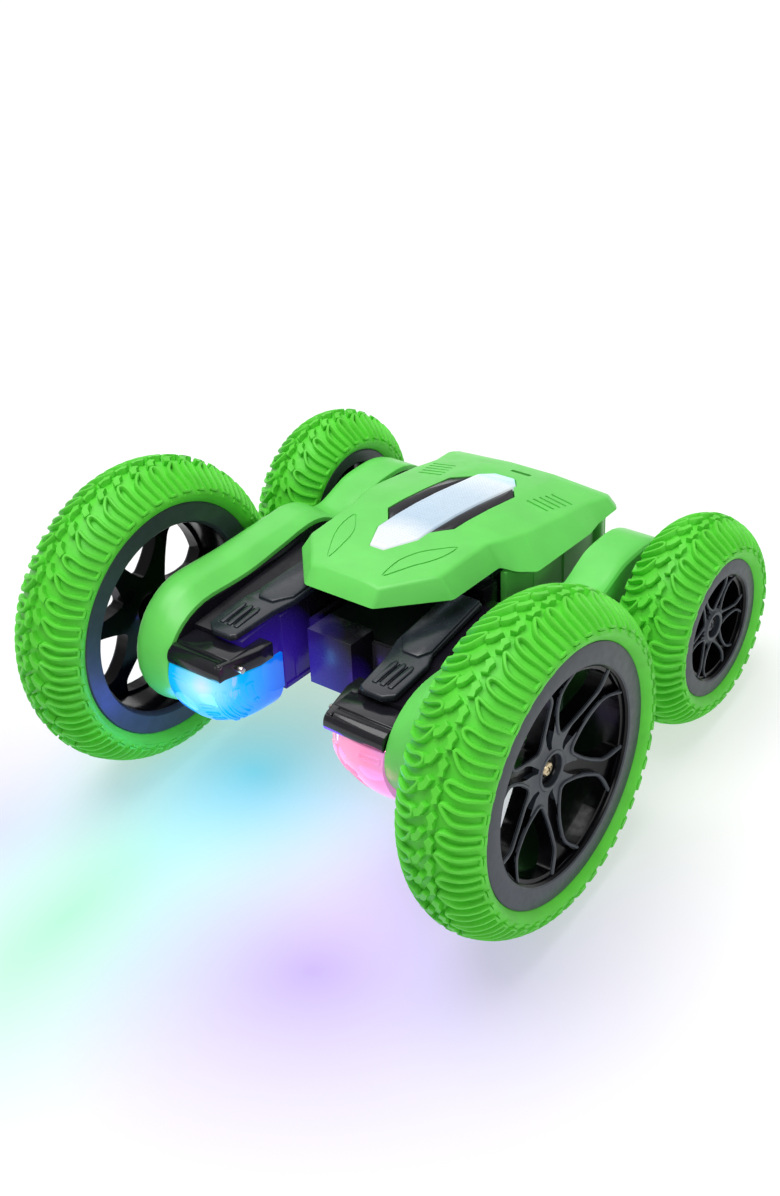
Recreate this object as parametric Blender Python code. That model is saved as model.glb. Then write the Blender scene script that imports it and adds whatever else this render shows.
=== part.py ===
"""Double-sided RC stunt car, built as an assembly.

Metres, +Z up, the nose faces -Y, the tyres stand on z = 0.
The front wheels are larger than the rear ones, so the whole car sits nose-up
on its wheels; every sub-part hangs from one tilted chassis empty.
"left" is the car's own left, on +X.
"""
import math

import bmesh
import bpy
from mathutils import Matrix, Vector

# ---------------------------------------------------------------- dimensions
MM = 0.001                    # lengths below are in millimetres
GAP = 0.3                     # working gap between neighbouring pieces

FRONT_TYRE_R = 47.1
REAR_TYRE_R = 31.6
AXLE_SPAN = 85.2              # front axle to rear axle
FRONT_TRACK_HALF = 68.5       # centre plane to wheel mid-plane
REAR_TRACK_HALF = 67.0

PITCH = math.asin((FRONT_TYRE_R - REAR_TYRE_R) / AXLE_SPAN)
CENTRE_Y = 7.775              # middle of the wheelbase
CENTRE_Z = (FRONT_TYRE_R + REAR_TYRE_R) / 2

FRONT_Y = -AXLE_SPAN / 2      # axle positions in the chassis frame
REAR_Y = AXLE_SPAN / 2
PIVOT_Y = 8.0                 # rocker pivot, at the waist of the side arms

ARM_IN, ARM_OUT = 38.5, 52.0  # side arm shell, from the centre plane
ARM_WALL = 1.6
ARM_END_R = 20.5
ARM_HUMP, ARM_VALLEY = 22.0, 15.5
AXLE_R = 1.3
SIDES = {"left": 1, "right": -1}

# ----------------------------------------------------------------- materials
COLOURS = {
    "green_plastic": ((0.10, 0.62, 0.045, 1), 0.0, 0.38),
    "green_rubber": ((0.13, 0.66, 0.06, 1), 0.0, 0.62),
    "black_plastic": ((0.018, 0.018, 0.02, 1), 0.0, 0.45),
    "black_gloss": ((0.012, 0.012, 0.014, 1), 0.0, 0.16),
    "clear_lens": ((0.86, 0.90, 0.93, 1), 0.0, 0.12),
    "blue_lens": ((0.10, 0.62, 0.95, 1), 0.0, 0.12),
    "pink_lens": ((0.95, 0.30, 0.48, 1), 0.0, 0.12),
    "steel": ((0.62, 0.62, 0.63, 1), 1.0, 0.30),
    "brass": ((0.72, 0.52, 0.22, 1), 1.0, 0.34),
    "white_nylon": ((0.82, 0.81, 0.77, 1), 0.0, 0.45),
    "board_green": ((0.02, 0.20, 0.07, 1), 0.0, 0.40),
    "battery_wrap": ((0.05, 0.12, 0.50, 1), 0.0, 0.35),
}


def paint(obj, kind):
    """Give one object its own Principled material."""
    colour, metal, rough = COLOURS[kind]
    mat = bpy.data.materials.new(obj.name + "_" + kind)
    mat.use_nodes = True
    shader = mat.node_tree.nodes["Principled BSDF"]
    shader.inputs["Base Color"].default_value = colour
    shader.inputs["Metallic"].default_value = metal
    shader.inputs["Roughness"].default_value = rough
    obj.data.materials.clear()
    obj.data.materials.append(mat)


# ------------------------------------------------------------------- helpers
def empty(name, location, parent=None, tilt=0.0):
    """A placing empty; location in millimetres."""
    node = bpy.data.objects.new(name, None)
    bpy.context.collection.objects.link(node)
    node.location = [v * MM for v in location]
    node.rotation_euler = (tilt, 0, 0)
    node.parent = parent
    return node


def to_object(name, bm, at, parent, kind):
    """Turn a bmesh in parent millimetres into an object whose origin is `at`."""
    bmesh.ops.remove_doubles(bm, verts=bm.verts, dist=0.001)
    bmesh.ops.recalc_face_normals(bm, faces=bm.faces)
    bmesh.ops.transform(bm, matrix=Matrix.Scale(MM, 4) @ Matrix.Translation(-Vector(at)),
                        verts=bm.verts)
    mesh = bpy.data.meshes.new(name)
    bm.to_mesh(mesh)
    bm.free()
    mesh.shade_smooth()
    mesh.set_sharp_from_angle(angle=math.radians(32))
    obj = bpy.data.objects.new(name, mesh)
    bpy.context.collection.objects.link(obj)
    obj.location = [v * MM for v in at]
    obj.parent = parent
    if kind:
        paint(obj, kind)
    return obj


def box(bm, lo, hi):
    """Add a box between two corners."""
    centre = [(a + b) / 2 for a, b in zip(lo, hi)]
    size = [abs(b - a) for a, b in zip(lo, hi)]
    matrix = Matrix.Translation(centre) @ Matrix.Diagonal((*size, 1))
    bmesh.ops.create_cube(bm, size=1, matrix=matrix)


def rod(bm, centre, radius, length, axis="X", segments=20):
    """Add a cylinder about X, Y or Z."""
    turn = {"X": Matrix.Rotation(math.pi / 2, 4, "Y"),
            "Y": Matrix.Rotation(-math.pi / 2, 4, "X"),
            "Z": Matrix.Identity(4)}[axis]
    bmesh.ops.create_cone(bm, cap_ends=True, segments=segments, radius1=radius,
                          radius2=radius, depth=length,
                          matrix=Matrix.Translation(centre) @ turn)


def prism(bm, outline, lo, hi, axis="X"):
    """Extrude a 2-D outline between two planes of one axis."""
    def place(a, b, c):
        return {"X": (c, a, b), "Y": (a, c, b), "Z": (a, b, c)}[axis]
    near = [bm.verts.new(place(a, b, lo)) for a, b in outline]
    far = [bm.verts.new(place(a, b, hi)) for a, b in outline]
    skin(bm, [near, far], cap_start=True, cap_end=True)


def skin(bm, rings, cap_start=False, cap_end=False, closed=True):
    """Quads between successive rings of verts, with optional end caps."""
    count = len(rings[0])
    for low, high in zip(rings, rings[1:]):
        for i in range(count if closed else count - 1):
            j = (i + 1) % count
            bm.faces.new((low[i], low[j], high[j], high[i]))
    if cap_start:
        bm.faces.new(rings[0])
    if cap_end:
        bm.faces.new(rings[-1])


def ring_verts(bm, points):
    return [bm.verts.new(p) for p in points]


def revolve(bm, profile, segments, centre=(0, 0, 0), lug=None):
    """Turn a closed (radius, x) profile about the X axis through `centre`.

    lug(segment, point) gives a radial offset, used for the tyre's tread."""
    rings = []
    for k in range(segments):
        angle = 2 * math.pi * k / segments
        ring = []
        for i, (radius, x) in enumerate(profile):
            reach = radius + (lug(k, i) if lug else 0)
            ring.append(bm.verts.new((centre[0] + x, centre[1] + reach * math.cos(angle),
                                      centre[2] + reach * math.sin(angle))))
        rings.append(ring)
    skin(bm, rings + rings[:1])


def cut(obj, name, bm, at, parent, operation="DIFFERENCE"):
    """Boolean with a hidden helper object."""
    tool = to_object(name, bm, at, parent, None)
    tool.hide_render = True
    tool.display_type = "WIRE"
    step = obj.modifiers.new(operation.title(), "BOOLEAN")
    step.operation = operation
    step.solver = "EXACT"
    step.object = tool
    return tool


def bevel(obj, width, segments=1, angle=35):
    step = obj.modifiers.new("Edge", "BEVEL")
    step.width = width * MM
    step.segments = segments
    step.limit_method = "ANGLE"
    step.angle_limit = math.radians(angle)
    step.harden_normals = False
    return step


def span(side, a, b):
    """x limits of a piece on one side, in rising order."""
    return (a, b) if side > 0 else (-b, -a)


# --------------------------------------------------------------- clean start
for old in list(bpy.data.objects):
    bpy.data.objects.remove(old, do_unlink=True)

CHASSIS = empty("chassis_axes", (0, CENTRE_Y, CENTRE_Z), tilt=-PITCH)
ARMS = {name: empty(name + "_arm_pivot", (0, PIVOT_Y, 0), CHASSIS) for name in SIDES}


# --------------------------------------------------------------- body covers
# half section of the roof at stations from nose to tail:
# (skirt x, y, z), (ridge x, y, z), (crown x, y, z)
ROOF = [
    ((12.0, -35.2, 23.0), (12.1, -32.0, 27.8), (6.5, -31.0, 28.4)),
    ((27.1, -18.6, 22.8), (22.7, -18.8, 28.8), (10.5, -20.0, 30.2)),
    ((27.0, 3.5, 22.6), (23.6, 2.0, 29.8), (11.5, 0.0, 30.7)),
    ((31.0, 6.2, 21.2), (26.0, 9.0, 29.2), (12.0, 10.0, 30.4)),
    ((34.8, 11.0, 20.2), (27.5, 16.0, 28.4), (12.0, 20.0, 29.6)),
    ((34.4, 39.5, 19.6), (28.0, 38.0, 25.6), (12.0, 38.0, 27.4)),
    ((32.6, 47.0, 19.2), (27.6, 48.0, 24.2), (11.0, 48.0, 26.0)),
    ((32.2, 58.0, 19.2), (29.4, 56.8, 23.0), (9.5, 57.0, 24.3)),
    ((29.4, 62.0, 18.6), (28.0, 60.2, 22.2), (8.0, 60.8, 23.3)),
]
BELLY = [
    ((13.0, -6.0, 14.4), (11.0, -3.4, 18.8), (6.0, -3.0, 19.4)),
    ((24.0, 0.0, 14.8), (18.0, 1.0, 20.6), (9.0, 1.6, 21.6)),
    ((30.6, 8.0, 15.2), (23.6, 8.0, 22.4), (13.0, 8.0, 23.6)),
    ((31.0, 12.0, 15.4), (24.4, 12.0, 22.8), (13.0, 11.0, 24.0)),
    ((31.0, 48.0, 15.4), (24.4, 48.0, 22.8), (13.0, 48.0, 24.0)),
    ((29.8, 60.0, 14.6), (23.4, 58.0, 19.6), (12.0, 57.6, 20.4)),
]
COVER_WALL = 1.8
LENS_HALF = 7.0               # half width of the roof light


def roof_height(y):
    """Height of the crown of the roof over the centre plane."""
    rows = [(row[2][1], row[2][2]) for row in ROOF]
    for (y0, z0), (y1, z1) in zip(rows, rows[1:]):
        if y <= y1:
            return z0 + (z1 - z0) * (y - y0) / (y1 - y0)
    return rows[-1][1]


def cover(name, up, stations, wall_top, openings):
    """One half of the body: faceted shell, side walls, and its openings."""
    bm = bmesh.new()
    rows = []
    for skirt, ridge, crown in stations:
        half = [skirt, ridge, crown]
        full = [(-x, y, z) for x, y, z in half] + [half[2], half[1], half[0]]
        rows.append(ring_verts(bm, [(x, y, up * z) for x, y, z in full]))
    skin(bm, rows, closed=False)
    bm.faces.new(rows[0])
    bm.faces.new(rows[-1])
    bmesh.ops.recalc_face_normals(bm, faces=bm.faces)
    if sum(face.normal.z * face.calc_area() for face in bm.faces) * up < 0:
        bmesh.ops.reverse_faces(bm, faces=bm.faces)
    bmesh.ops.transform(bm, matrix=Matrix.Scale(MM, 4), verts=bm.verts)
    mesh = bpy.data.meshes.new(name)
    bm.to_mesh(mesh)
    bm.free()
    obj = bpy.data.objects.new(name, mesh)
    bpy.context.collection.objects.link(obj)
    obj.parent = CHASSIS
    paint(obj, "green_plastic")
    wall = obj.modifiers.new("Wall", "SOLIDIFY")
    wall.thickness = COVER_WALL * MM
    wall.offset = -1
    walls = bmesh.new()
    outline = [(-28.6, 4.2), (-28.6, 57.6), (28.6, 57.6), (28.6, 4.2), (26.8, 4.2),
               (26.8, 55.8), (-26.8, 55.8), (-26.8, 4.2)]
    prism(walls, outline, up * 0.15, up * wall_top, "Z")
    cut(obj, name + "_walls", walls, (0, 0, 0), CHASSIS, "UNION")
    holes = bmesh.new()
    for side in (-1, 1):
        rod(holes, (side * 28, PIVOT_Y, 0), 2.0 + 2 * GAP, 12)
    openings(holes)
    cut(obj, name + "_openings", holes, (0, 0, 0), CHASSIS)
    return obj


def light_outline(grow=0.0):
    """Plan of the roof light: pointed nose, square tail with cut corners."""
    w = LENS_HALF + grow
    half = [(2.5, -17.5 - grow), (w, -8.0), (w, 41.0), (w - 3.5, 45.5 + grow)]
    return half + [(-x, y) for x, y in reversed(half)]


def strip_outline(side, inner=LENS_HALF + GAP, grow=0.0):
    """Plan of the black strip beside the roof light."""
    outer = 11.6 + grow
    front = [-2.4 + 1.26 * (x - 7.3) - 2 * grow for x in (inner, outer)]
    rear = [38.8 - 1.35 * (x - 7.3) + 2 * grow for x in (outer, inner)]
    return [(side * x, y) for x, y in zip((inner, outer, outer, inner), front + rear)]


DOOR = (11.0, 18.0, 47.0)     # battery door: half width, front and rear edge
SWITCH_Y, SWITCH_TRAVEL = 14.0, 2.0
PORT_Y = 52.0


def top_openings(bm):
    prism(bm, light_outline(GAP), 20, 40, "Z")


def belly_openings(bm):
    w, y0, y1 = DOOR
    box(bm, (-w - GAP, y0 - GAP, -40), (w + GAP, y1 + GAP, -18))
    box(bm, (-SWITCH_TRAVEL - 2.0, SWITCH_Y - 1.6, -40), (SWITCH_TRAVEL + 2.0, SWITCH_Y + 1.6, -15))
    rod(bm, (0, PORT_Y, -20), 1.9, 12, "Z", 16)


top_cover = cover("top_cover", 1, ROOF, 20.9, top_openings)
slots = bmesh.new()
for side in (-1, 1):
    prism(slots, strip_outline(side, LENS_HALF - 2, GAP), 20, 40, "Z")
cut(top_cover, "strip_openings", slots, (0, 0, 0), CHASSIS)
ears = bmesh.new()
for side in (-1, 1):
    ear = [(side * 20.4, -4.2), (side * 28.6, -4.2), (side * 28.6, 4.8), (side * 20.4, 4.8)]
    prism(ears, ear, 8.2, 10.4, "Z")
cut(top_cover, "top_cover_ears", ears, (0, 0, 0), CHASSIS, "UNION")
belly_cover = cover("belly_cover", -1, BELLY, 16.9, belly_openings)


def slab(bm, outline, top, thickness):
    """A plate bent to follow the roof: top(y) gives its upper face."""
    prism(bm, outline, -thickness, 0, "Z")
    for row in ROOF:
        everything = bm.verts[:] + bm.edges[:] + bm.faces[:]
        bmesh.ops.bisect_plane(bm, geom=everything, dist=0.01, plane_co=(0, row[2][1], 0),
                               plane_no=(0, 1, 0))
    for vert in bm.verts:
        vert.co.z += top(vert.co.y)


bm = bmesh.new()
slab(bm, light_outline(), lambda y: roof_height(y) + 0.7, 2.2)
roof_light_lens = to_object("roof_light_lens", bm, (0, 14, 27), CHASSIS, "clear_lens")
bevel(roof_light_lens, 0.5)
for name, side in SIDES.items():
    bm = bmesh.new()
    slab(bm, strip_outline(side), lambda y: roof_height(y) - 0.1, 1.6)
    to_object(name + "_roof_strip", bm, (side * 9.7, 18, 27), CHASSIS, "black_gloss")

bm = bmesh.new()
slab(bm, [(-6, -8), (6, -8), (6, 40), (-6, 40)], lambda y: roof_height(y) - 3.4, 1.0)
to_object("roof_light_board", bm, (0, 16, 24), CHASSIS, "board_green")
bm = bmesh.new()
slab(bm, [(-2.5, -4), (2.5, -4), (2.5, 36), (-2.5, 36)], lambda y: roof_height(y) - 2.0, 1.1)
to_object("roof_led_strip", bm, (0, 16, 26), CHASSIS, "clear_lens")

# ------------------------------------------------------------- inner chassis
bm = bmesh.new()
box(bm, (-15.0, -31, -10), (15.0, 54, 9))
frame = to_object("chassis_frame", bm, (0, 10, 0), CHASSIS, "black_plastic")
bm = bmesh.new()
rod(bm, (0, PIVOT_Y, 0), 5.5, 50, segments=24)
for side in (-1, 1):
    lug = [(13.6, 4.0), (15.5, 4.0), (19.5, 10.8), (26.4, 10.8), (26.4, 18.5), (19.5, 18.5),
           (13.6, 8.8)]
    prism(bm, [(side * x, z) for x, z in lug], -3.6, 3.2, "Y")
box(bm, (-7.8, -40, -5.0), (7.8, -30, 12.5))
cut(frame, "chassis_bosses", bm, (0, 0, 0), CHASSIS, "UNION")
bm = bmesh.new()
box(bm, (-13.4, -29.4, -8.4), (13.4, 52.4, 20))
rod(bm, (0, PIVOT_Y, 0), 2.3, 80, segments=20)
cut(frame, "chassis_cavity", bm, (0, 0, 0), CHASSIS)

bm = bmesh.new()
rod(bm, (0, PIVOT_Y, 0), 2.0, 73, segments=16)
to_object("pivot_axle", bm, (0, PIVOT_Y, 0), CHASSIS, "steel")

bm = bmesh.new()
box(bm, (-9.0, 12.5, -7.6), (9.0, 48.5, 6.4))
battery = to_object("battery_pack", bm, (0, 30, 0), CHASSIS, "battery_wrap")
bevel(battery, 2.0, 2)
bm = bmesh.new()
box(bm, (-12.5, -28.0, 6.8), (12.5, 3.0, 8.0))
to_object("control_board", bm, (0, -12, 7.4), CHASSIS, "board_green")

w, y0, y1 = DOOR
bm = bmesh.new()
prism(bm, [(-w, y0), (-w, y1), (w, y1), (w, y0)], -24.0, -22.3, "Z")
door = to_object("battery_door", bm, (0, 29, -23), CHASSIS, "green_plastic")
bm = bmesh.new()
rod(bm, (0, y0 + 3.4, -23), 1.9, 9, "Z", 20)
cut(door, "door_screw_hole", bm, (0, 0, 0), CHASSIS)
bm = bmesh.new()
rod(bm, (0, y0 + 3.4, -23.3), 1.5, 1.2, "Z", 16)
to_object("battery_door_screw", bm, (0, y0 + 3.4, -23.3), CHASSIS, "steel")
bm = bmesh.new()
off = -SWITCH_TRAVEL
box(bm, (off - 1.8, SWITCH_Y - 1.2, -24.8), (off + 1.8, SWITCH_Y + 1.2, -21.4))
knob = to_object("power_switch_knob", bm, (off, SWITCH_Y, -22.5), CHASSIS, "black_plastic")
bm = bmesh.new()
box(bm, (off - 6.0, SWITCH_Y - 2.4, -21.8), (off + 6.0, SWITCH_Y + 2.4, -20.6))
cut(knob, "switch_slider", bm, (0, 0, 0), CHASSIS, "UNION")

# ------------------------------------------------------------------ side arms
def arm_outline(squash, inset):
    """Side view of an arm: round ends, a hump, a waist and a rear hump."""
    radius = ARM_END_R - inset
    nose, tail = FRONT_Y - 2.4, REAR_Y - 1.6
    top = []
    for k in range(7):
        angle = math.radians(180 - 15 * k)
        top.append((nose + radius * math.cos(angle), radius * squash * math.sin(angle)))
    crest = (ARM_HUMP - inset) * (0.45 * squash + 0.55)
    valley = (ARM_VALLEY - inset) * (0.45 * squash + 0.55)
    mid = [(-30, radius * squash), (-16, radius * squash * 0.5 + crest * 0.5),
           (-6, crest * 0.985), (0, crest), (5, crest * 0.95), (9, valley + (crest - valley) * 0.5),
           (12, valley + (crest - valley) * 0.14), (16, valley),
           (20, valley + (radius - valley) * 0.12), (25, valley + (radius - valley) * 0.5),
           (31, valley + (radius - valley) * 0.88)]
    top += mid
    for k in range(7):
        angle = math.radians(90 - 15 * k)
        top.append((tail + radius * math.cos(angle), radius * math.sin(angle)))
    bottom = [(y, -z) for y, z in reversed(top[1:-1])]
    return top + bottom


ARM_RINGS = [(ARM_IN, 0.80, 0.0), (ARM_IN + 4.5, 0.93, 0.0), (ARM_OUT - 3.0, 1.0, 0.0),
             (ARM_OUT - 0.8, 1.0, 0.6), (ARM_OUT, 1.0, 1.8)]


def arm_shell(name, side):
    """Green outer half of an arm, open towards the body."""
    bm = bmesh.new()
    outer = [ring_verts(bm, [(side * x, y, z) for y, z in arm_outline(squash, inset)])
             for x, squash, inset in ARM_RINGS]
    inner = [ring_verts(bm, [(side * x, y, z) for y, z in arm_outline(squash, inset + ARM_WALL)])
             for x, squash, inset in ((ARM_IN, 0.80, 0.0), (ARM_IN + 4.5, 0.93, 0.0),
                                      (ARM_OUT - ARM_WALL, 1.0, 0.0))]
    skin(bm, outer, cap_end=True)
    skin(bm, inner, cap_end=True)
    skin(bm, [outer[0], inner[0]])
    obj = to_object(name + "_arm_shell", bm, (side * 45, PIVOT_Y, 0), ARMS[name], "green_plastic")
    obj.location = (side * 45 * MM, 0, 0)
    holes = bmesh.new()
    for y in (FRONT_Y, REAR_Y):
        rod(holes, (side * ARM_OUT, y - PIVOT_Y, 0), AXLE_R + GAP, 8, segments=16)
    cut(obj, name + "_arm_holes", holes, (0, 0, 0), ARMS[name])
    return obj


STEP_Y = -38.4                # the lamp bay ahead of here is narrower


def case_top(y):
    """Upper face of the black inner case, rising towards the body."""
    return 10.0 + (y + 54.5) * 0.11


def inner_case(name, side):
    """Black inner half of an arm: gear plate, motor bay and pivot boss."""
    pivot = ARMS[name]
    bm = bmesh.new()
    outline = arm_outline(0.80, ARM_WALL + GAP)
    prism(bm, [(y - PIVOT_Y, z) for y, z in outline], *span(side, ARM_IN, ARM_IN + 1.5))
    obj = to_object(name + "_inner_case", bm, (side * ARM_IN, 0, 0), pivot, "black_plastic")
    bay = bmesh.new()
    inner, outer = side * 19.0, side * (ARM_IN + 0.4)
    step = side * 20.6
    plan = [(inner, -6.0), (inner, STEP_Y), (step, STEP_Y), (step, -53.0), (outer, -53.0),
            (outer, -6.0)]
    prism(bay, plan, 0, 1, "Z")
    bmesh.ops.bisect_plane(bay, geom=bay.verts[:] + bay.edges[:] + bay.faces[:], dist=0.01,
                           plane_co=(0, STEP_Y, 0), plane_no=(0, 1, 0))
    for vert in bay.verts:
        rise = max(0.0, STEP_Y - vert.co.y) * 0.25
        vert.co.z = case_top(vert.co.y) if vert.co.z > 0.5 else rise - 12.6
        vert.co.y -= PIVOT_Y
    cut(obj, name + "_bay", bay, (0, 0, 0), pivot, "UNION")
    boss = bmesh.new()
    rod(boss, (side * 34.2, 0, 0), 7.0, 9.6, segments=24)
    cut(obj, name + "_boss", boss, (0, 0, 0), pivot, "UNION")
    hollow = bmesh.new()
    points = [(-51.4, -8.2), (-51.4, case_top(-51.4) - 1.5), (-7.6, case_top(-7.6) - 1.5),
              (-7.6, -11.4), (-36.8, -11.4), (-37.4, -9.3)]
    prism(hollow, [(y - PIVOT_Y, z) for y, z in points], *span(side, 22.1, ARM_IN - 0.6))
    rod(hollow, (side * 33, 0, 0), 2.0 + GAP, 16, segments=20)
    cut(obj, name + "_hollow", hollow, (0, 0, 0), pivot)
    hole = bmesh.new()
    rod(hole, (side * ARM_IN, MOTOR_Y - PIVOT_Y, MOTOR_Z), 3.0, 6, segments=20)
    cut(obj, name + "_shaft_hole", hole, (0, 0, 0), pivot)
    pins = bmesh.new()
    for y in IDLERS.values():
        rod(pins, (side * 44.6, y - PIVOT_Y, 0), AXLE_R, 11.0, segments=14)
    cut(obj, name + "_pins", pins, (0, 0, 0), pivot, "UNION")
    return obj


def panel(name, side):
    """Glossy trim on top of the inner case, with a chamfered nose."""
    plan = [(22.0, -53.6), (23.5, -54.8), (30.0, -54.8), (33.0, -52.4), (32.6, -38.0),
            (30.6, -33.0), (29.0, -8.0), (17.6, -8.0), (18.4, -33.0), (20.4, -40.0)]
    bm = bmesh.new()
    upper = ring_verts(bm, [(side * x, y - PIVOT_Y, case_top(y) + 3.0) for x, y in plan])
    lower = ring_verts(bm, [(side * x, y - PIVOT_Y, case_top(y) + GAP) for x, y in plan])
    skin(bm, [lower, upper], cap_start=True, cap_end=True)
    at = (side * 26, -31 - PIVOT_Y, 13)
    obj = to_object(name + "_arm_trim", bm, at, ARMS[name], "black_gloss")
    bevel(obj, 0.45)
    return obj


def bracket(name, side):
    """Black bumper bar ahead of the inner case."""
    section = [(-65.0, 3.6), (-65.2, 6.6), (-64.0, 8.1), (-62.0, 8.7), (-53.3, 8.9), (-53.3, 3.6)]
    bm = bmesh.new()
    prism(bm, [(y - PIVOT_Y, z) for y, z in section], *span(side, 18.5, ARM_IN - GAP))
    at = (side * 28, -59 - PIVOT_Y, 6)
    return to_object(name + "_front_bumper", bm, at, ARMS[name], "black_gloss")


LENS_SECTIONS = [
    (19.0, [(-61.0, 3.2), (-61.6, -2.5), (-58.5, -8.5), (-52.5, -12.5), (-43.5, -13.4)]),
    (23.5, [(-64.0, 3.2), (-64.8, -2.5), (-61.0, -10.5), (-54.5, -15.8), (-44.0, -17.0)]),
    (31.0, [(-65.2, 3.2), (-66.2, -2.8), (-62.4, -11.8), (-55.5, -18.2), (-45.0, -20.0)]),
    (ARM_IN - GAP, [(-64.8, 3.2), (-65.6, -3.0), (-61.8, -12.0), (-55.0, -18.6), (-45.0, -20.2)]),
]


LENS_BACKS = ([(-39.6, -6.0), (-39.0, 3.2)], [(-53.6, -11.8), (-53.6, 3.2)])
LENS_WALL = 1.4


def head_lens(name, side):
    """Curved lamp cover under the bumper, hollow and open at the back."""
    bm = bmesh.new()
    loops = []
    for depth in (0.0, LENS_WALL):
        rows = []
        shifts = [depth, 0.0, 0.0, -depth]
        for dx, (x, curve) in zip(shifts, LENS_SECTIONS):
            lean = [(1.0, 0.0), (1.0, 0.0), (0.8, 0.6), (0.4, 0.9), (0.0, 1.0)]
            line = [(y + a * depth, z + b * depth) for (y, z), (a, b) in zip(curve, lean)]
            rows.append(ring_verts(bm, [(side * (x + dx), y - PIVOT_Y, z) for y, z in line]))
        backs = []
        for row, back in zip((rows[0], rows[-1]), LENS_BACKS):
            backs.append(ring_verts(bm, [(row[0].co.x, y - PIVOT_Y, z) for y, z in back]))
            bm.faces.new(row + backs[-1])
        skin(bm, rows, closed=False)
        loops.append([backs[0][0], backs[0][1]] + [row[0] for row in rows]
                     + [backs[1][1], backs[1][0]] + [row[-1] for row in reversed(rows)])
    skin(bm, loops)
    at = (side * 29, -56 - PIVOT_Y, -8)
    kind = "pink_lens" if side > 0 else "blue_lens"
    return to_object(name + "_headlight_lens", bm, at, ARMS[name], kind)


def lamp_board(name, side):
    """Small circuit board with one raised LED, behind the lamp cover."""
    bm = bmesh.new()
    box(bm, (side * 23, -54.6 - PIVOT_Y, -9.5), (side * 35, -53.6 - PIVOT_Y, 2.5))
    at = (side * 29, -54 - PIVOT_Y, -3)
    to_object(name + "_headlight_board", bm, at, ARMS[name], "board_green")
    bm = bmesh.new()
    rod(bm, (side * 29, -56.6 - PIVOT_Y, -3), 2.4, 3.4, "Y", 14)
    at = (side * 29, -56.6 - PIVOT_Y, -3)
    led = to_object(name + "_headlight_led", bm, at, ARMS[name], "clear_lens")
    return led


def gear(name, teeth, tip, at, lo, hi, parent, kind, bore, hub=None):
    """A spur gear about X; `at` is its centre in the parent's millimetres."""
    root = tip - 1.4
    bm = bmesh.new()
    outline, hole = [], []
    for k in range(teeth):
        for share, radius in ((0.0, root), (0.34, tip), (0.66, tip)):
            angle = 2 * math.pi * (k + share) / teeth
            outline.append((at[1] + radius * math.cos(angle), at[2] + radius * math.sin(angle)))
            hole.append((at[1] + bore * math.cos(angle), at[2] + bore * math.sin(angle)))
    rings = []
    for x, points in ((lo, outline), (hi, outline), (hi, hole), (lo, hole)):
        rings.append(ring_verts(bm, [(x, y, z) for y, z in points]))
    skin(bm, rings + rings[:1])
    return to_object(name, bm, at, parent, kind)


GEAR_X, GEAR_WIDTH = 46.2, 3.6            # gear train plane, from the centre plane
REDUCTION_X = 41.4                        # motor pinion and reduction gear plane
GEARS = {"front_gear": (18, 14.35), "rear_gear": (12, 9.55)}      # teeth, tip radius
IDLERS = {"idler_gear_1": -18.0, "idler_gear_2": 2.4, "idler_gear_3": 22.8}
IDLER_TEETH, IDLER_TIP = 12, 10.15
PINION_TEETH, PINION_TIP = 6, 3.2
REDUCTION_TEETH, REDUCTION_TIP = 24, 13.0
MOTOR_Y, MOTOR_Z = -34.25, -1.4


def drive(name, side):
    """Geared motor, pinion and the idlers between the two wheel gears."""
    pivot = ARMS[name]
    lo, hi = span(side, GEAR_X, GEAR_X + GEAR_WIDTH)
    for key, y in IDLERS.items():
        gear(name + "_" + key, IDLER_TEETH, IDLER_TIP, (side * GEAR_X, y - PIVOT_Y, 0),
             lo, hi, pivot, "white_nylon", AXLE_R + GAP)
    lo, hi = span(side, REDUCTION_X, REDUCTION_X + 3.4)
    at = (side * REDUCTION_X, IDLERS["idler_gear_1"] - PIVOT_Y, 0)
    gear(name + "_reduction_gear", REDUCTION_TEETH, REDUCTION_TIP, at, lo, hi, pivot,
         "white_nylon", AXLE_R + GAP)
    at = (side * REDUCTION_X, MOTOR_Y - PIVOT_Y, MOTOR_Z)
    gear(name + "_motor_pinion", PINION_TEETH, PINION_TIP, at, lo, hi, pivot,
         "brass", 1.0 + GAP)
    bm = bmesh.new()
    rod(bm, (side * 30.0, at[1], at[2]), 7.4, 15.0, segments=24)
    motor = to_object(name + "_motor", bm, at, pivot, "steel")
    shaft = bmesh.new()
    rod(shaft, (side * 40.4, at[1], at[2]), 1.0, 9.0, segments=14)
    cut(motor, name + "_motor_shaft", shaft, (0, 0, 0), pivot, "UNION")


for name, side in SIDES.items():
    arm_shell(name, side)
    inner_case(name, side)
    panel(name, side)
    bracket(name, side)
    head_lens(name, side)
    lamp_board(name, side)
    drive(name, side)


# --------------------------------------------------------------------- wheels
def tyre_profile(radius, rim_r, half):
    """Closed (radius, x) section of a hollow tyre."""
    depth = radius - rim_r
    outer = [(rim_r + GAP, -half * 0.84), (rim_r + depth * 0.20, -half),
             (rim_r + depth * 0.42, -half * 0.97), (rim_r + depth * 0.66, -half * 0.76),
             (rim_r + depth * 0.86, -half * 0.48), (radius, -half * 0.14)]
    outer += [(r, -x) for r, x in reversed(outer)]
    inner = [(rim_r + GAP, half * 0.66), (rim_r - 1.9, half * 0.60),
             (rim_r + depth * 0.40, half * 0.58)]
    return outer + inner + [(r, -x) for r, x in reversed(inner)]


SPOKES = 6


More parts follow.
